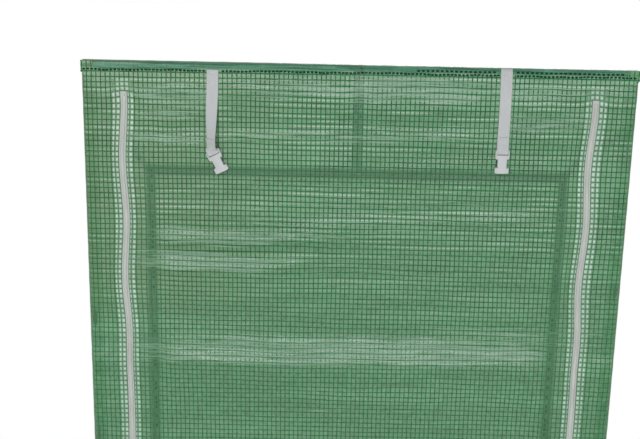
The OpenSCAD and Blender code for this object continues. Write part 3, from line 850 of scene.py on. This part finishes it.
def cell_colour(mix, spot, kind):
    """Colour of the clear cells: each a little different, warmer on the left of the door, with painted
    glints, painted shade over the tubes, in the folds at the lintel's corners and in single dark cells, and
    the zip's tape."""
    if kind == "sleeve":
        colour = sleeve_body(mix, spot)
    else:
        colour = mix.blend(spot.milk, tint(68, 121, 78), tint(82, 134, 92))
    bright = mix.times(mix.span(spot.chance, 0.0, 1.0, 0.90, 1.10, "LINEAR"),
                       mix.span(spot.mottle, 0.3, 0.7, 0.90, 1.10, "LINEAR"))
    colour = mix.add("ShaderNodeVectorMath", {0: colour, "Scale": bright}, operation="SCALE").outputs[0]
    if kind == "film":
        warm = mix.times(mix.fade(spot.x, -0.34, -0.06), mix.span(spot.z, 1.50, 1.62))
        colour = mix.blend(mix.times(warm, 0.55), colour, tint(92, 120, 78))
    broad = net_lines(mix, spot, 0.0020, 0.0013)
    spot.core = mix.without(mix.most(broad[0]["Line"], broad[1]["Line"]))
    colour = mix.blend(mix.times(cell_glow(mix, spot), mix.without(spot.tube)), colour, tint(133, 166, 138))
    # Painted shade: darker strips where the tubes behind the film keep light from coming through it.
    colour = mix.blend(mix.times(spot.tube, 0.5), colour, tint(54, 98, 66))
    colour = mix.blend(mix.times(spot.beam, 0.5), colour, tint(50, 94, 62))
    # Painted shade in the folds at the lintel's corners.
    colour = mix.blend(mix.times(corner_crease_shade(mix, spot), 0.5), colour, tint(44, 94, 60))
    # Painted shade: single dark cells in front of the tubes.
    colour = mix.blend(tube_shade_dots(mix, spot), colour, tint(0, 66, 36))
    return mix.blend(tape_cells(mix, spot), colour, tint(186, 207, 192))


def painted_glare(mix, spot):
    """How much painted glare covers the film, and its colour: brushed noise over a bar that falls where
    the film's glare mark is high."""
    glare_share = mix.add("ShaderNodeAttribute", attribute_name="glare_share").outputs["Fac"]
    brushed = mix.noise(spot.uv, 26.0, 520.0, 2.0)
    mixed = mix.plus(mix.times(spot.ripple, 0.6), mix.times(brushed, 0.4))
    bar = mix.span(glare_share, 0.0, 1.0, 0.76, 0.42, "LINEAR")
    glare_amount = mix.span(mix.minus(mixed, bar), -0.05, 0.10)
    colour = mix.blend(mix.span(brushed, 0.40, 0.60), tint(92, 132, 102), tint(106, 144, 114))
    return mix.times(glare_amount, mix.without(spot.level["Line"], 0.45), 0.88), colour


def film_finish(mix, spot, shader, colour, rough, net_rise):
    """What every kind of film has in common: a veil of painted glare, dust low down, relief of ripples and
    net.
    """
    cover, veil = painted_glare(mix, spot)
    dust = mix.use(dust_and_scuffs, Vector=mix.place(), Amount=0.35, Reach=0.3)["Dust"]
    # Painted glare laid over the colour as a pale veil, then dust.
    colour = mix.blend(mix.times(dust, 0.6), mix.blend(cover, colour, veil), DUST)
    rough = mix.plus(rough, mix.times(dust, 0.4), clamp=True)
    normal = mix.bump(mix.plus(mix.times(spot.net, net_rise), spot.ripple), 0.5, 0.0010)
    mix.link(Base_Color=(colour, shader), Roughness=(rough, shader), Normal=(normal, shader))


def thread_paint_tree(name):
    """The raised threads: green, darker and duller than the film, paler in front of the zip's tape."""
    paint, mix, shader = new_paint(name, IOR=1.5, Specular_IOR_Level=0.18)
    spot = film_spot(mix)
    colour = mix.blend(mix.times(spot.tape, 0.15), thread_colour(mix, spot), tint(170, 196, 174))
    film_finish(mix, spot, shader, colour, mix.span(spot.mottle, 0.3, 0.7, 0.42, 0.56), 0.0)
    return paint


def film_paint_tree(name, kind):
    """Reinforced green film: greyer clear cells between green threads, streaks of painted glare, painted
    shade over the tubes behind it, and the zip's tape behind it showing through. The kind is film or sleeve:
    a sleeve is bluer with few upright lines and a painted shade line along its top fold."""
    paint, mix, shader = new_paint(name, IOR=1.5, Coat_Weight=0.12, Coat_Roughness=0.18)
    spot = film_spot(mix)
    colour = cell_colour(mix, spot, kind)
    if kind == "sleeve":
        spot.net = mix.most(mix.times(spot.upright["Line"], 0.25), mix.times(spot.level["Line"], 0.6))
        # Painted shade: a dark line along the sleeve's top fold.
        fold = mix.fade(mix.off(spot.z, SLEEVE_SHADE_V), 0.0010, 0.0035)
        colour = mix.blend(mix.times(fold, 0.8), colour, tint(10, 62, 42))
    colour = mix.blend(mix.times(spot.net, 0.85), colour, thread_colour(mix, spot))
    rough = mix.plus(mix.span(spot.mottle, 0.3, 0.7, 0.26, 0.38), mix.times(spot.milk, 0.06))
    clear = mix.times(mix.without(spot.net), mix.without(spot.tape))
    mix.link(Alpha=(mix.without(clear, 0.05), shader))
    film_finish(mix, spot, shader, colour, rough, 0.3)
    return paint


# Paint of the bands and the hard pieces

def woven_paint(name, pale, shade, rib, yarn, depth):
    """White woven band: herringbone yarns, painted shade in the gaps between them, faint soiling in patches.
    """
    paint, mix, shader = new_paint(name, Roughness=0.82, Sheen_Weight=0.25, Sheen_Roughness=0.4)
    flat, place = mix.parts(mix.uv()), mix.place()
    weave = mix.use(herringbone, Across=flat[X], Along=flat[Y], Rib=rib, Yarn=yarn)
    grain = mix.use(fine_grain, Vector=place, Fine=1600.0, Broad=30.0)
    dust = mix.use(dust_and_scuffs, Vector=place, Amount=0.3, Reach=0.3)["Dust"]
    # Painted shade between the yarns.
    colour = mix.blend(mix.times(weave["Gap"], 0.55), pale, shade)
    colour = mix.blend(mix.times(grain["Patch"], 0.18), colour, shade)
    colour = mix.blend(mix.times(dust, 0.5), colour, DUST)
    rough = mix.span(grain["Tooth"], 0.2, 0.8, 0.72, 0.92)
    normal = mix.bump(mix.plus(weave["Rise"], mix.times(grain["Tooth"], 0.25)), 0.6, depth)
    mix.link(Base_Color=(colour, shader), Roughness=(rough, shader), Normal=(normal, shader))
    return paint


def moulded_paint(name, tints, rough_range, tooth=0.00012, soil=0.45, **plain):
    """Moulded or painted hard surface: faint patches between the first two tints, a fine tooth in the skin,
    scuffs in the third tint, and dust."""
    paint, mix, shader = new_paint(name, **plain)
    place = mix.place()
    grain = mix.use(fine_grain, Vector=place, Fine=1300.0, Broad=18.0)
    dust = mix.use(dust_and_scuffs, Vector=place, Amount=soil, Reach=0.28)
    colour = mix.blend(grain["Patch"], tint(*tints[0]), tint(*tints[1]))
    colour = mix.blend(mix.times(dust["Scuff"], 0.5), colour, tint(*tints[2]))
    colour = mix.blend(mix.times(dust["Dust"], 0.55), colour, DUST)
    rough = mix.span(grain["Patch"], 0.0, 1.0, *rough_range)
    rough = mix.plus(rough, mix.times(dust["Dust"], 0.3), clamp=True)
    normal = mix.bump(grain["Tooth"], 0.3, tooth)
    mix.link(Base_Color=(colour, shader), Roughness=(rough, shader), Normal=(normal, shader))
    return paint


film_paint = film_paint_tree("Green scrim film", "film")
thread_paint = thread_paint_tree("Green scrim threads")
sleeve_paint = film_paint_tree("Green sleeve film", "sleeve")
webbing_paint = woven_paint("White webbing", tint(192, 194, 194), tint(160, 163, 164), 0.0050, 0.0017, 0.0004)
tape_paint = woven_paint("White zip tape", tint(192, 195, 190), tint(162, 167, 163), 0.0019, 0.0009, 0.0002)
coil_paint = moulded_paint(
    "White zip coil", ((190, 193, 187), (176, 180, 174), (160, 160, 155)), (0.34, 0.50))
lacquer_paint = moulded_paint(
    "White slider lacquer", ((190, 193, 190), (178, 182, 180), (120, 122, 124)), (0.25, 0.40),
    Coat_Weight=0.3, Coat_Roughness=0.2)
buckle_paint = moulded_paint(
    "White buckle plastic", ((188, 190, 190), (178, 181, 181), (165, 167, 166)), (0.28, 0.42))
frame_paint = moulded_paint(
    "Green powder coat", ((44, 84, 54), (54, 97, 64), (88, 112, 92)), (0.38, 0.55), tooth=0.0003)
plug_paint = moulded_paint(
    "Dark green plug plastic", ((30, 58, 38), (38, 70, 46), (72, 92, 76)), (0.42, 0.60), tooth=0.0002)
stitch_paint = moulded_paint(
    "Dark green sewing thread", ((0, 46, 30), (8, 62, 42), (30, 78, 54)), (0.6, 0.75),
    soil=0.1, Specular_IOR_Level=0.12)
edge_paint = moulded_paint(
    "Turned film edge", ((50, 102, 64), (62, 116, 76), (96, 132, 104)), (0.40, 0.55), soil=0.2)
white_stitch_paint = moulded_paint(
    "White sewing thread", ((184, 187, 187), (168, 172, 172), (165, 167, 166)), (0.6, 0.75))


# Film pieces

def put_threads(name, sets):
    """Threads gathered into one piece, with the film's painted glare marks on them."""
    points, quads, uv = gather(sets)
    return put_quads(name, points, quads, uv, "film", thread_paint, glare_mark(uv[:, 0], uv[:, 1]))


def make_door(company):
    """The door's sheet of film, with its upright and its level threads as two pieces of their own."""
    door = (-FLAP_HALF, FLAP_HALF, FLAP_FOOT_Z, SEAM_Z)
    points, quads, uv = film_patch(*door)
    mark = glare_mark(uv[..., 0], uv[..., 1])
    film = put_quads("door_flap_film", points, quads, uv, "film", film_paint, mark)
    upright, level = thread_patch(*door)
    threads = [put_threads("door_flap_upright_threads", upright),
               put_threads("door_flap_level_threads", level)]
    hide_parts("door_flap")


# Section of the flap's folded foot, from its start on the film to its end behind: depth, height
HEM = np.array([
    (-0.0106, 0.0466), (-0.01135, 0.0462), (-0.0117, 0.0450), (-0.0118, 0.0360), (-0.0119, 0.0250),
    (-0.0118, 0.0140), (-0.0118, 0.0085), (-0.0114, 0.0064), (-0.0106, 0.0056), (-0.0099, 0.0064),
    (-0.0098, 0.0090),
])
HEM_STITCH_Z = 0.0415


def make_hem():
    """The flap's folded foot: a profile that starts on the film, runs down its front, turns under the edge
    and up behind it, carried along the width with a faint wave in its front."""
    x = lines_between(-FLAP_HALF, FLAP_HALF, THREAD_X)
    y, z = HEM[:, :1], HEM[:, 1:]
    lift = 0.0002 * wave(x, 0.061) * (y < -0.011)
    points, uv = spread(x, y - lift, z)[::-1], spread(x, z)[::-1]
    quads = grid_quads(len(HEM), len(x))
    return put_quads("door_flap_hem", points, quads, uv, "film", film_paint, np.zeros(points.shape[:2]))


def level_stitches(x, z, out, length, radius, widen=1.0):
    """Stitches that run level across the film, as points, quads and uv."""
    points = film_points(x, z, out)
    along, away = everywhere(RIGHTWARD, points), everywhere(OUTWARD, points)
    return stitch_rows(points, along, away, length, radius, widen)


def clear_of_straps(x):
    """The places along the seam that no strap covers."""
    return x[np.abs(np.abs(x) - STRAP_X) > STRAP_W / 2 + 0.0035]


def make_seam_stitches():
    """Small stitches in a waving row under the top sleeve, and a bolder row of one stitch a cell above it
    that starts right of the middle. Their dark, widened thread is sewing thread and partly painted shadow
    along the seam's groove."""
    fine_x = clear_of_straps(np.arange(-HALF_W + 0.006, HALF_W - 0.004, 0.0066))
    fine_z = SEAM_Z - 0.0014 + 0.0005 * wave(fine_x, 0.19) + 0.0004 * wave(fine_x, 0.047)
    cell_x = clear_of_straps(THREAD_X + PITCH_X / 2)
    bold_x = cell_x[(cell_x > 0.10) & (cell_x < SLEEVE_END_X - 0.004)]
    bold_z = SEAM_Z + 0.0052 + 0.0004 * wave(bold_x, 0.11)
    # Dark widened stitches: sewing thread, and partly painted shadow along the seam's groove.
    fine = level_stitches(fine_x, fine_z, out=0.0004, length=0.0048, radius=0.0006, widen=2.5)
    bold = level_stitches(bold_x, bold_z, out=0.0004, length=0.0050, radius=0.0006, widen=2.8)
    return put_quads("seam_stitches", *gather([fine, bold]), "film", stitch_paint)


def make_hem_stitches():
    """A straight row of fine stitches along the upper edge of the flap's folded foot."""
    x = np.arange(-FLAP_HALF + 0.004, FLAP_HALF - 0.003, 0.006)
    sewn = level_stitches(x, HEM_STITCH_Z, out=0.0012, length=0.0040, radius=0.00035)
    return put_quads("hem_stitches", *sewn, "film", stitch_paint)


def make_jamb(side, sign):
    """The strip between the zip and the corner post: a tall patch beside the slit, one above it, and two
    small ones that reach the wall's edge beside the sleeves' ends."""
    def cut(near, far, foot, top):
        """A rectangle of film on this side of the wall, as its left, right, foot and top."""
        return (near, far, foot, top) if sign > 0 else (-far, -near, foot, top)
    cuts = [
        cut(ZIP_X + SLIT_HALF, CORNER_X + SLEEVE_LAP, FLAP_FOOT_Z, SLIT_TOP_Z),
        cut(FLAP_HALF, CORNER_X + SLEEVE_LAP, SLIT_TOP_Z, SEAM_Z),
        cut(CORNER_X + SLEEVE_LAP, HALF_W, SLEEVE_TOP_Z, SEAM_Z),
        cut(SLEEVE_END_X, HALF_W, SEAM_Z, WALL_H - 0.0004),
    ]
    points, quads, uv = gather([film_patch(*c) for c in cuts])
    mark = glare_mark(uv[:, 0], uv[:, 1])
    film = put_quads(f"jamb_strip_film_{side}", points, quads, uv, "film", film_paint, mark)
    sets = [ridges for c in cuts for way in thread_patch(*c) for ridges in way]
    threads = put_threads(f"jamb_strip_threads_{side}", sets)
    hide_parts(f"jamb_strip_{side}")


def make_side_sleeve(side, sign):
    """The sleeve round a corner post: an arc of the sleeve's radius from the strip's front, round the
    outside and the back to the strip's rear face, carried up the post with slight slack."""
    lap = math.asin(SLEEVE_LAP / SLEEVE_R)
    start = -math.pi / 2 + lap
    turn = np.linspace(start, 1.5 * math.pi - 2.4 * lap, 29)
    z = film_rows(SLEEVE_FOOT_Z, SLEEVE_TOP_Z)[:, None]
    slack = 0.00016 * (1 + wave(z, 0.043, 2 * turn) * wave(z, 0.31))
    r = SLEEVE_R + slack * ease(turn - start, 0.0, 0.6)
    points = spread(sign * (CORNER_X + r * np.cos(turn)), r * np.sin(turn), z)
    uv = spread(sign * (CORNER_X + SLEEVE_LAP + (turn - start) * SLEEVE_R), z)
    quads = grid_quads(*r.shape)[:, ::sign]
    film = put_quads(f"side_sleeve_film_{side}", points, quads, uv, "film", film_paint, np.zeros(r.shape))
    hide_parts(f"side_sleeve_{side}")


def make_top_sleeve():
    """The sleeve round the top rail: a full turn from the seam up the front, over and back under, carried
    along the width with small gathers that run across it."""
    start = math.pi + math.asin((RAIL_Z - SEAM_Z) / SLEEVE_R)
    turn = start - np.linspace(0, 2 * math.pi, 49)[:, None]
    half_cells = np.sort(np.concatenate([THREAD_X, THREAD_X + PITCH_X / 2]))
    x = lines_between(-SLEEVE_END_X, SLEEVE_END_X, half_cells)
    gathers = 0.00010 * wave(x, 0.041, 0.8 * wave(x, 0.17))
    r = SLEEVE_R + gathers * np.sin((start - turn) / 2)
    z = RAIL_Z + r * np.sin(turn) + seam_slope(x) * bell(turn, start, 0.35)
    points = spread(x, r * np.cos(turn), z)
    uv = spread(x, SEAM_Z + (start - turn) * SLEEVE_R)
    quads = grid_quads(*r.shape)
    film = put_quads("top_sleeve_film", points, quads, uv, "film", sleeve_paint, np.zeros(r.shape))
    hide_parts("top_sleeve")


make_door([make_hem(), make_hem_stitches(), make_seam_stitches()])
make_top_sleeve()
for side, sign in SIDES:
    make_jamb(side, sign)
    make_side_sleeve(side, sign)


# Zips

def make_zip_tape(side, sign):
    """The woven tape: a band, ribbed by a faint wave across it, carried along the zip's wandering line."""
    z = np.linspace(TAPE_FOOT_Z, TAPE_TOP_Z, 211)
    path = spread(sign * ZIP_X + zip_sway(z) * sway_share(z), TAPE_Y, z)
    section = band_section(2 * TAPE_HALF, TAPE_T, 20)
    section[:, 1] += 0.0001 * np.cos(section[:, 0] / TAPE_HALF * 3 * np.pi)
    woven = sweep(section, path, everywhere(RIGHTWARD, path), everywhere(OUTWARD, path))
    tape = put_quads(f"zip_tape_woven_{side}", *woven, "zip_tape", tape_paint)
    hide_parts(f"zip_tape_{side}")


def make_zip_coil(side, sign):
    """The coil's teeth: a low rounded ridge whose height and width follow a cosine wave along the zip, half
    a tooth apart on its two sides, with a groove down the middle."""
    count = int((SLIT_TOP_Z - 0.002 - TAPE_FOOT_Z) / COIL_PITCH)
    z = (TAPE_FOOT_Z + np.arange(count * 4 + 1) * COIL_PITCH / 4)[:, None]
    wide = np.linspace(-1, 1, 9)
    tooth = 0.5 + 0.5 * np.cos(2 * np.pi * (z / COIL_PITCH + np.where(wide < 0, 0.0, 0.5)))
    rise = COIL_H * (1 - wide ** 4) * (0.62 + 0.38 * tooth) * (1 - 0.22 * bell(wide, 0, 0.16))
    x = sign * ZIP_X + zip_sway(z) + COIL_HALF * wide * (0.94 + 0.06 * tooth)
    points, uv = spread(x, TAPE_Y - TAPE_T / 2 - rise, z), spread(COIL_HALF * wide, z)
    coil = put_quads(f"zip_coil_teeth_{side}", points, grid_quads(*x.shape), uv, "zip_coil", coil_paint)
    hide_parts(f"zip_coil_{side}")


def make_slit_edges(side, sign):
    """The film's turned edges along both sides of the slit and over its end, as thin cords on the film."""
    rows = film_rows(FLAP_FOOT_Z, SLIT_TOP_Z)
    paths = [(film_points(sign * ZIP_X + way * SLIT_HALF, rows), RIGHTWARD) for way in (-1, 1)]
    end_x = np.linspace(-SLIT_HALF, SLIT_HALF, 7) + sign * ZIP_X
    paths.append((film_points(end_x, SLIT_TOP_Z), DOWNWARD))
    cord = round_section(EDGE_R)
    edges = [sweep(cord, path, everywhere(across, path), everywhere(OUTWARD, path)) for path, across in paths]
    put_quads(f"slit_edge_{side}", *gather(edges), "film", edge_paint)


for side, sign in SIDES:
    make_zip_tape(side, sign)
    make_zip_coil(side, sign)
    make_slit_edges(side, sign)


# Straps

def strap_path(down, across, out, bar):
    """A strap that runs down to a buckle's bar, turns half round it and lies back up on itself as a sewn
    tail. down holds the run's points, across and out its directions, bar the bar's middle. The half turn is
    half a squared oval round the bar, slack enough to fill the slot under it. The tail follows the run,
    closing on it."""
    fall = np.cross(across[-1], out[-1])
    fall = fall * np.sign(fall @ (down[-1] - down[-2]))
    angle = np.linspace(0, np.pi, 21)[1:, None]
    turn = bar - out[-1] * (LOOP_R * squared(np.cos(angle), 0.5))
    turn = turn + fall * (LOOP_DROP * np.abs(np.sin(angle)) ** 0.5)
    away = np.cumsum(np.linalg.norm(np.diff(down[::-1], axis=0), axis=1))
    back = int(np.searchsorted(away, STRAP_TAIL))
    closed = STRAP_T * 1.08
    gap = closed + (2 * LOOP_R - closed) * (1 - ease(away[:back], 0.0, 0.014))
    tail = down[::-1][1:back + 1] + out[::-1][1:back + 1] * gap[:, None]
    centre = np.concatenate([down, turn, tail])
    sides = np.concatenate([across, everywhere(across[-1], turn), across[::-1][1:back + 1]])
    faces = unit(np.cross(unit(np.gradient(centre, axis=0)), sides))
    return centre, sides, faces, tail


def make_strap(name, run, bar, stands_for):
    """A webbing strap with its sewn tail, and rows of stitches across it: two at its top and two on the
    tail."""
    down, across, out = run
    centre, sides, faces, tail = strap_path(down, across, out, bar)
    woven = sweep(band_section(STRAP_W, STRAP_T), centre, sides, faces)
    band = put_quads(name, *woven, "webbing", webbing_paint)
    places = np.linspace(-0.4, 0.4, 7)[:, None] * STRAP_W
    at_tail = len(down) - len(tail) - 1
    rows = []
    for at, k in ((down[2], 2), (down[5], 5), (tail[-3], at_tail), (tail[-8], at_tail)):
        points = at + across[k] * places + out[k] * STRAP_T * 0.5
        along, away = everywhere(across[k], points), everywhere(out[k], points)
        rows.append(stitch_rows(points, along, away, length=0.0019, radius=0.00028))
    sewn = put_quads(name + "_stitches", *gather(rows), "webbing", white_stitch_paint)
    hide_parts(stands_for)


def inner_run(x, count=60):
    """Straight down behind the film from the top to level with the bar, easing from one depth to another."""
    t = np.linspace(0, 1, count)
    sewn_y, bar_y = -0.0090, INNER_BAR_Y - LOOP_R
    y = sewn_y + (bar_y - sewn_y) * ease(t, 0.1, 0.9)
    centre = spread(x, y, INNER_TOP_Z + (INNER_BAR_Z - INNER_TOP_Z) * t)
    return centre, everywhere(RIGHTWARD, centre), everywhere(INWARD, centre)


def right_outer_run(count=70):
    """Over the top sleeve's shoulder on a circle, then straight down to the bar with a slight belly."""
    z = np.linspace(RIGHT_TOP_Z, RIGHT_BAR_Z, count)
    shoulder = SLEEVE_R + 0.00085
    over = np.clip(z - RAIL_Z, 0, shoulder * 0.86)
    below = RAIL_Z - z
    inward = (OUTER_BAR_Y + LOOP_R + shoulder) * ease(below, 0.0, 0.11)
    belly = 0.0010 * np.sin(np.pi * np.clip(below / 0.13, 0, 1))
    y = np.where(z > RAIL_Z, -np.sqrt(shoulder ** 2 - over ** 2), -shoulder + inward - belly)
    x = STRAP_X + 0.0006 * np.sin(np.pi * (z - RIGHT_BAR_Z) / 0.14)
    centre = np.stack([x, y, z], -1)
    across = everywhere(RIGHTWARD, centre)
    out = np.cross(unit(np.gradient(centre, axis=0)), across)
    return centre, across, out * np.sign(-out[:, 1:2])


def left_outer_run(count=90):
    """A strap that hangs a little twisted: its middle is a cubic curve from the seam to the bar, and its
    width turns about that curve, most of all just above the buckle, and flat again at the bar."""
    t = np.linspace(0, 1, count)[:, None]
    start = np.array([-STRAP_X, -0.0113, LEFT_TOP_Z])
    end = np.array([-STRAP_X, OUTER_BAR_Y + LOOP_R, LEFT_BAR_Z])
    leave = np.array([0.0, 0.0, -0.15])
    arrive = np.array([math.sin(LEFT_TURN), 0.0, -math.cos(LEFT_TURN)]) * 0.045
    centre = (2 * t ** 3 - 3 * t ** 2 + 1) * start + (t ** 3 - 2 * t ** 2 + t) * leave
    centre = centre + (3 * t ** 2 - 2 * t ** 3) * end + (t ** 3 - t ** 2) * arrive
    twist = math.radians(40) * (ease(t, 0.25, 0.80) * (1 - ease(t, 0.84, 1.0)))
    centre[:, 1:2] -= (STRAP_W / 2) * np.sin(twist) * 1.02
    along = np.gradient(centre, axis=0)
    along[:, Y] = 0
    out = everywhere(OUTWARD, centre)
    level = np.cross(out, unit(along))
    level = level * np.sign(level[:, :1])
    across = level * np.cos(twist) + out * np.sin(twist)
    return centre, across, out * np.cos(twist) - level * np.sin(twist)


make_strap("outer_strap_band_left", left_outer_run(), (-STRAP_X, OUTER_BAR_Y, LEFT_BAR_Z),
           "outer_strap_left")
make_strap("outer_strap_band_right", right_outer_run(), (STRAP_X, OUTER_BAR_Y, RIGHT_BAR_Z),
           "outer_strap_right")
for side, sign in SIDES:
    x = sign * STRAP_X
    make_strap(f"inner_strap_band_{side}", inner_run(x), (x, INNER_BAR_Y, INNER_BAR_Z),
               f"inner_strap_{side}")


# Paint on the part's own solids, by how a node's name starts
PAINTS = {
    "base_rail": frame_paint, "top_rail": frame_paint, "corner_post": frame_paint, "door_post": frame_paint,
    "lintel": frame_paint, "centre_strut": frame_paint, "base_corner": plug_paint, "top_corner": plug_paint,
    "lintel_corner": plug_paint, "door_foot": plug_paint, "strut_saddle": plug_paint,
    "zip_slider": lacquer_paint, "zip_pull": lacquer_paint,
    "buckle_socket": buckle_paint, "buckle_plug": buckle_paint,
}
for name, node in nodes.items():
    stem = max((start for start in PAINTS if name.startswith(start)), key=len, default=None)
    if stem:
        node.data.materials.clear()
        node.data.materials.append(PAINTS[stem])


# Floor, light and camera

WHITE = (1.0, 1.0, 1.0, 1.0)


def seen_share(mix):
    """1 where the camera, a reflection or glass sees the surface, 0 where it only gives light."""
    path = mix.add("ShaderNodeLightPath").outputs
    return mix.most(path["Is Camera Ray"], path["Is Glossy Ray"], path["Is Transmission Ray"])


def make_floor(edge=60.0, lines=25):
    """A wide flat floor, pale with a faint mottle near the object and plain white away from it."""
    x, y = np.meshgrid(np.linspace(-edge, edge, lines), np.linspace(-edge, edge, lines))
    mesh = bpy.data.meshes.new("floor")
    mesh.from_pydata(spread(x, y, -0.0006).reshape(-1, 3).tolist(), [], grid_quads(lines, lines).tolist())
    paint, mix, shader = new_paint("Pale floor", Roughness=0.9, Specular_IOR_Level=0.1)
    place = mix.place()
    patch = mix.use(fine_grain, Vector=place, Fine=60.0, Broad=3.0)["Patch"]
    mix.link(Base_Color=(mix.blend(patch, tint(247, 247, 246), tint(250, 250, 250)), shader))
    away = mix.add("ShaderNodeVectorMath", {0: place}, operation="LENGTH").outputs["Value"]
    share = mix.times(mix.span(away, 1.0, 2.6), seen_share(mix))
    white = mix.add("ShaderNodeEmission", {"Color": WHITE, "Strength": 1.0})
    both = mix.add("ShaderNodeMixShader", {0: share, 1: shader.outputs[0], 2: white.outputs[0]})
    ending = next(n for n in mix.tree.nodes if n.bl_idname == "ShaderNodeOutputMaterial")
    mix.link(Surface=(both.outputs[0], ending))
    mesh.materials.append(paint)
    floor = bpy.data.objects.new("floor", mesh)
    bpy.context.scene.collection.objects.link(floor)


def make_sky():
    """White where the camera, a reflection or glass sees it, and a soft grey as light."""
    world = bpy.data.worlds.new("Studio")
    bpy.context.scene.world = world
    world.use_nodes = True
    mix = Mix(world.node_tree)
    mix.tree.nodes.clear()
    light = mix.add("ShaderNodeBackground", {"Color": (0.97, 0.985, 1.0, 1.0), "Strength": 0.42})
    white = mix.add("ShaderNodeBackground", {"Color": WHITE, "Strength": 1.0})
    both = mix.add("ShaderNodeMixShader", {0: seen_share(mix), 1: light.outputs[0], 2: white.outputs[0]})
    mix.add("ShaderNodeOutputWorld", {"Surface": both.outputs[0]})


def stand(name, what, right, up, back, at):
    """A lamp or camera put at a place, with the directions that its right side, top and back look in."""
    holder = bpy.data.objects.new(name, what)
    bpy.context.scene.collection.objects.link(holder)
    holder.matrix_world = Matrix([*np.column_stack([right, up, back, at]).tolist(), [0, 0, 0, 1]])
    return holder


def make_lamp(name, at, towards, wide, tall, power):
    """An oblong soft lamp that faces a point."""
    lamp = bpy.data.lights.new(name, "AREA")
    lamp.shape, lamp.size, lamp.size_y, lamp.energy = "RECTANGLE", wide, tall, power
    back = unit(np.array(at, float) - np.array(towards, float))
    right = unit(np.cross([0.0, 0.0, 1.0], back))
    stand(name, lamp, right, np.cross(back, right), back, at)


def make_camera():
    """The photograph's viewing point, fitted to the zip's line, the top edge, the strips and the threads."""
    yaw, pitch, roll = np.radians([-0.769, -15.061, 1.059])
    ahead = np.array([math.sin(yaw) * math.cos(pitch), math.cos(yaw) * math.cos(pitch), math.sin(pitch)])
    right = np.array([math.cos(yaw), -math.sin(yaw), 0.0])
    up = np.cross(right, ahead)
    tilt_right = math.cos(roll) * right + math.sin(roll) * up
    tilt_up = -math.sin(roll) * right + math.cos(roll) * up
    at = (-0.0361, -1.9728, 2.2554)
    lens = bpy.data.cameras.new("photo_view")
    lens.lens, lens.sensor_width = 65.0, 36.0
    bpy.context.scene.camera = stand("photo_view", lens, tilt_right, tilt_up, -ahead, at)


# Lamps: name, place, the point that each faces, width, height, power
LAMPS = [
    ("key", (-1.7, -2.6, 3.5), (0, 0, 1.4), 1.4, 1.4, 32.0),
    ("fill", (2.3, -2.4, 2.0), (0, 0, 1.2), 1.8, 1.8, 12.0),
    ("strip", (0.0, -3.6, 1.84), (0, 0, 1.70), 3.4, 0.36, 46.0),
    ("behind", (0.7, 2.7, 3.0), (0, 0, 1.1), 1.8, 1.8, 44.0),
]
make_floor()
make_sky()
for lamp in LAMPS:
    make_lamp(*lamp)
make_camera()
bpy.context.scene.view_settings.view_transform = "Standard"

bpy.context.view_layer.update()
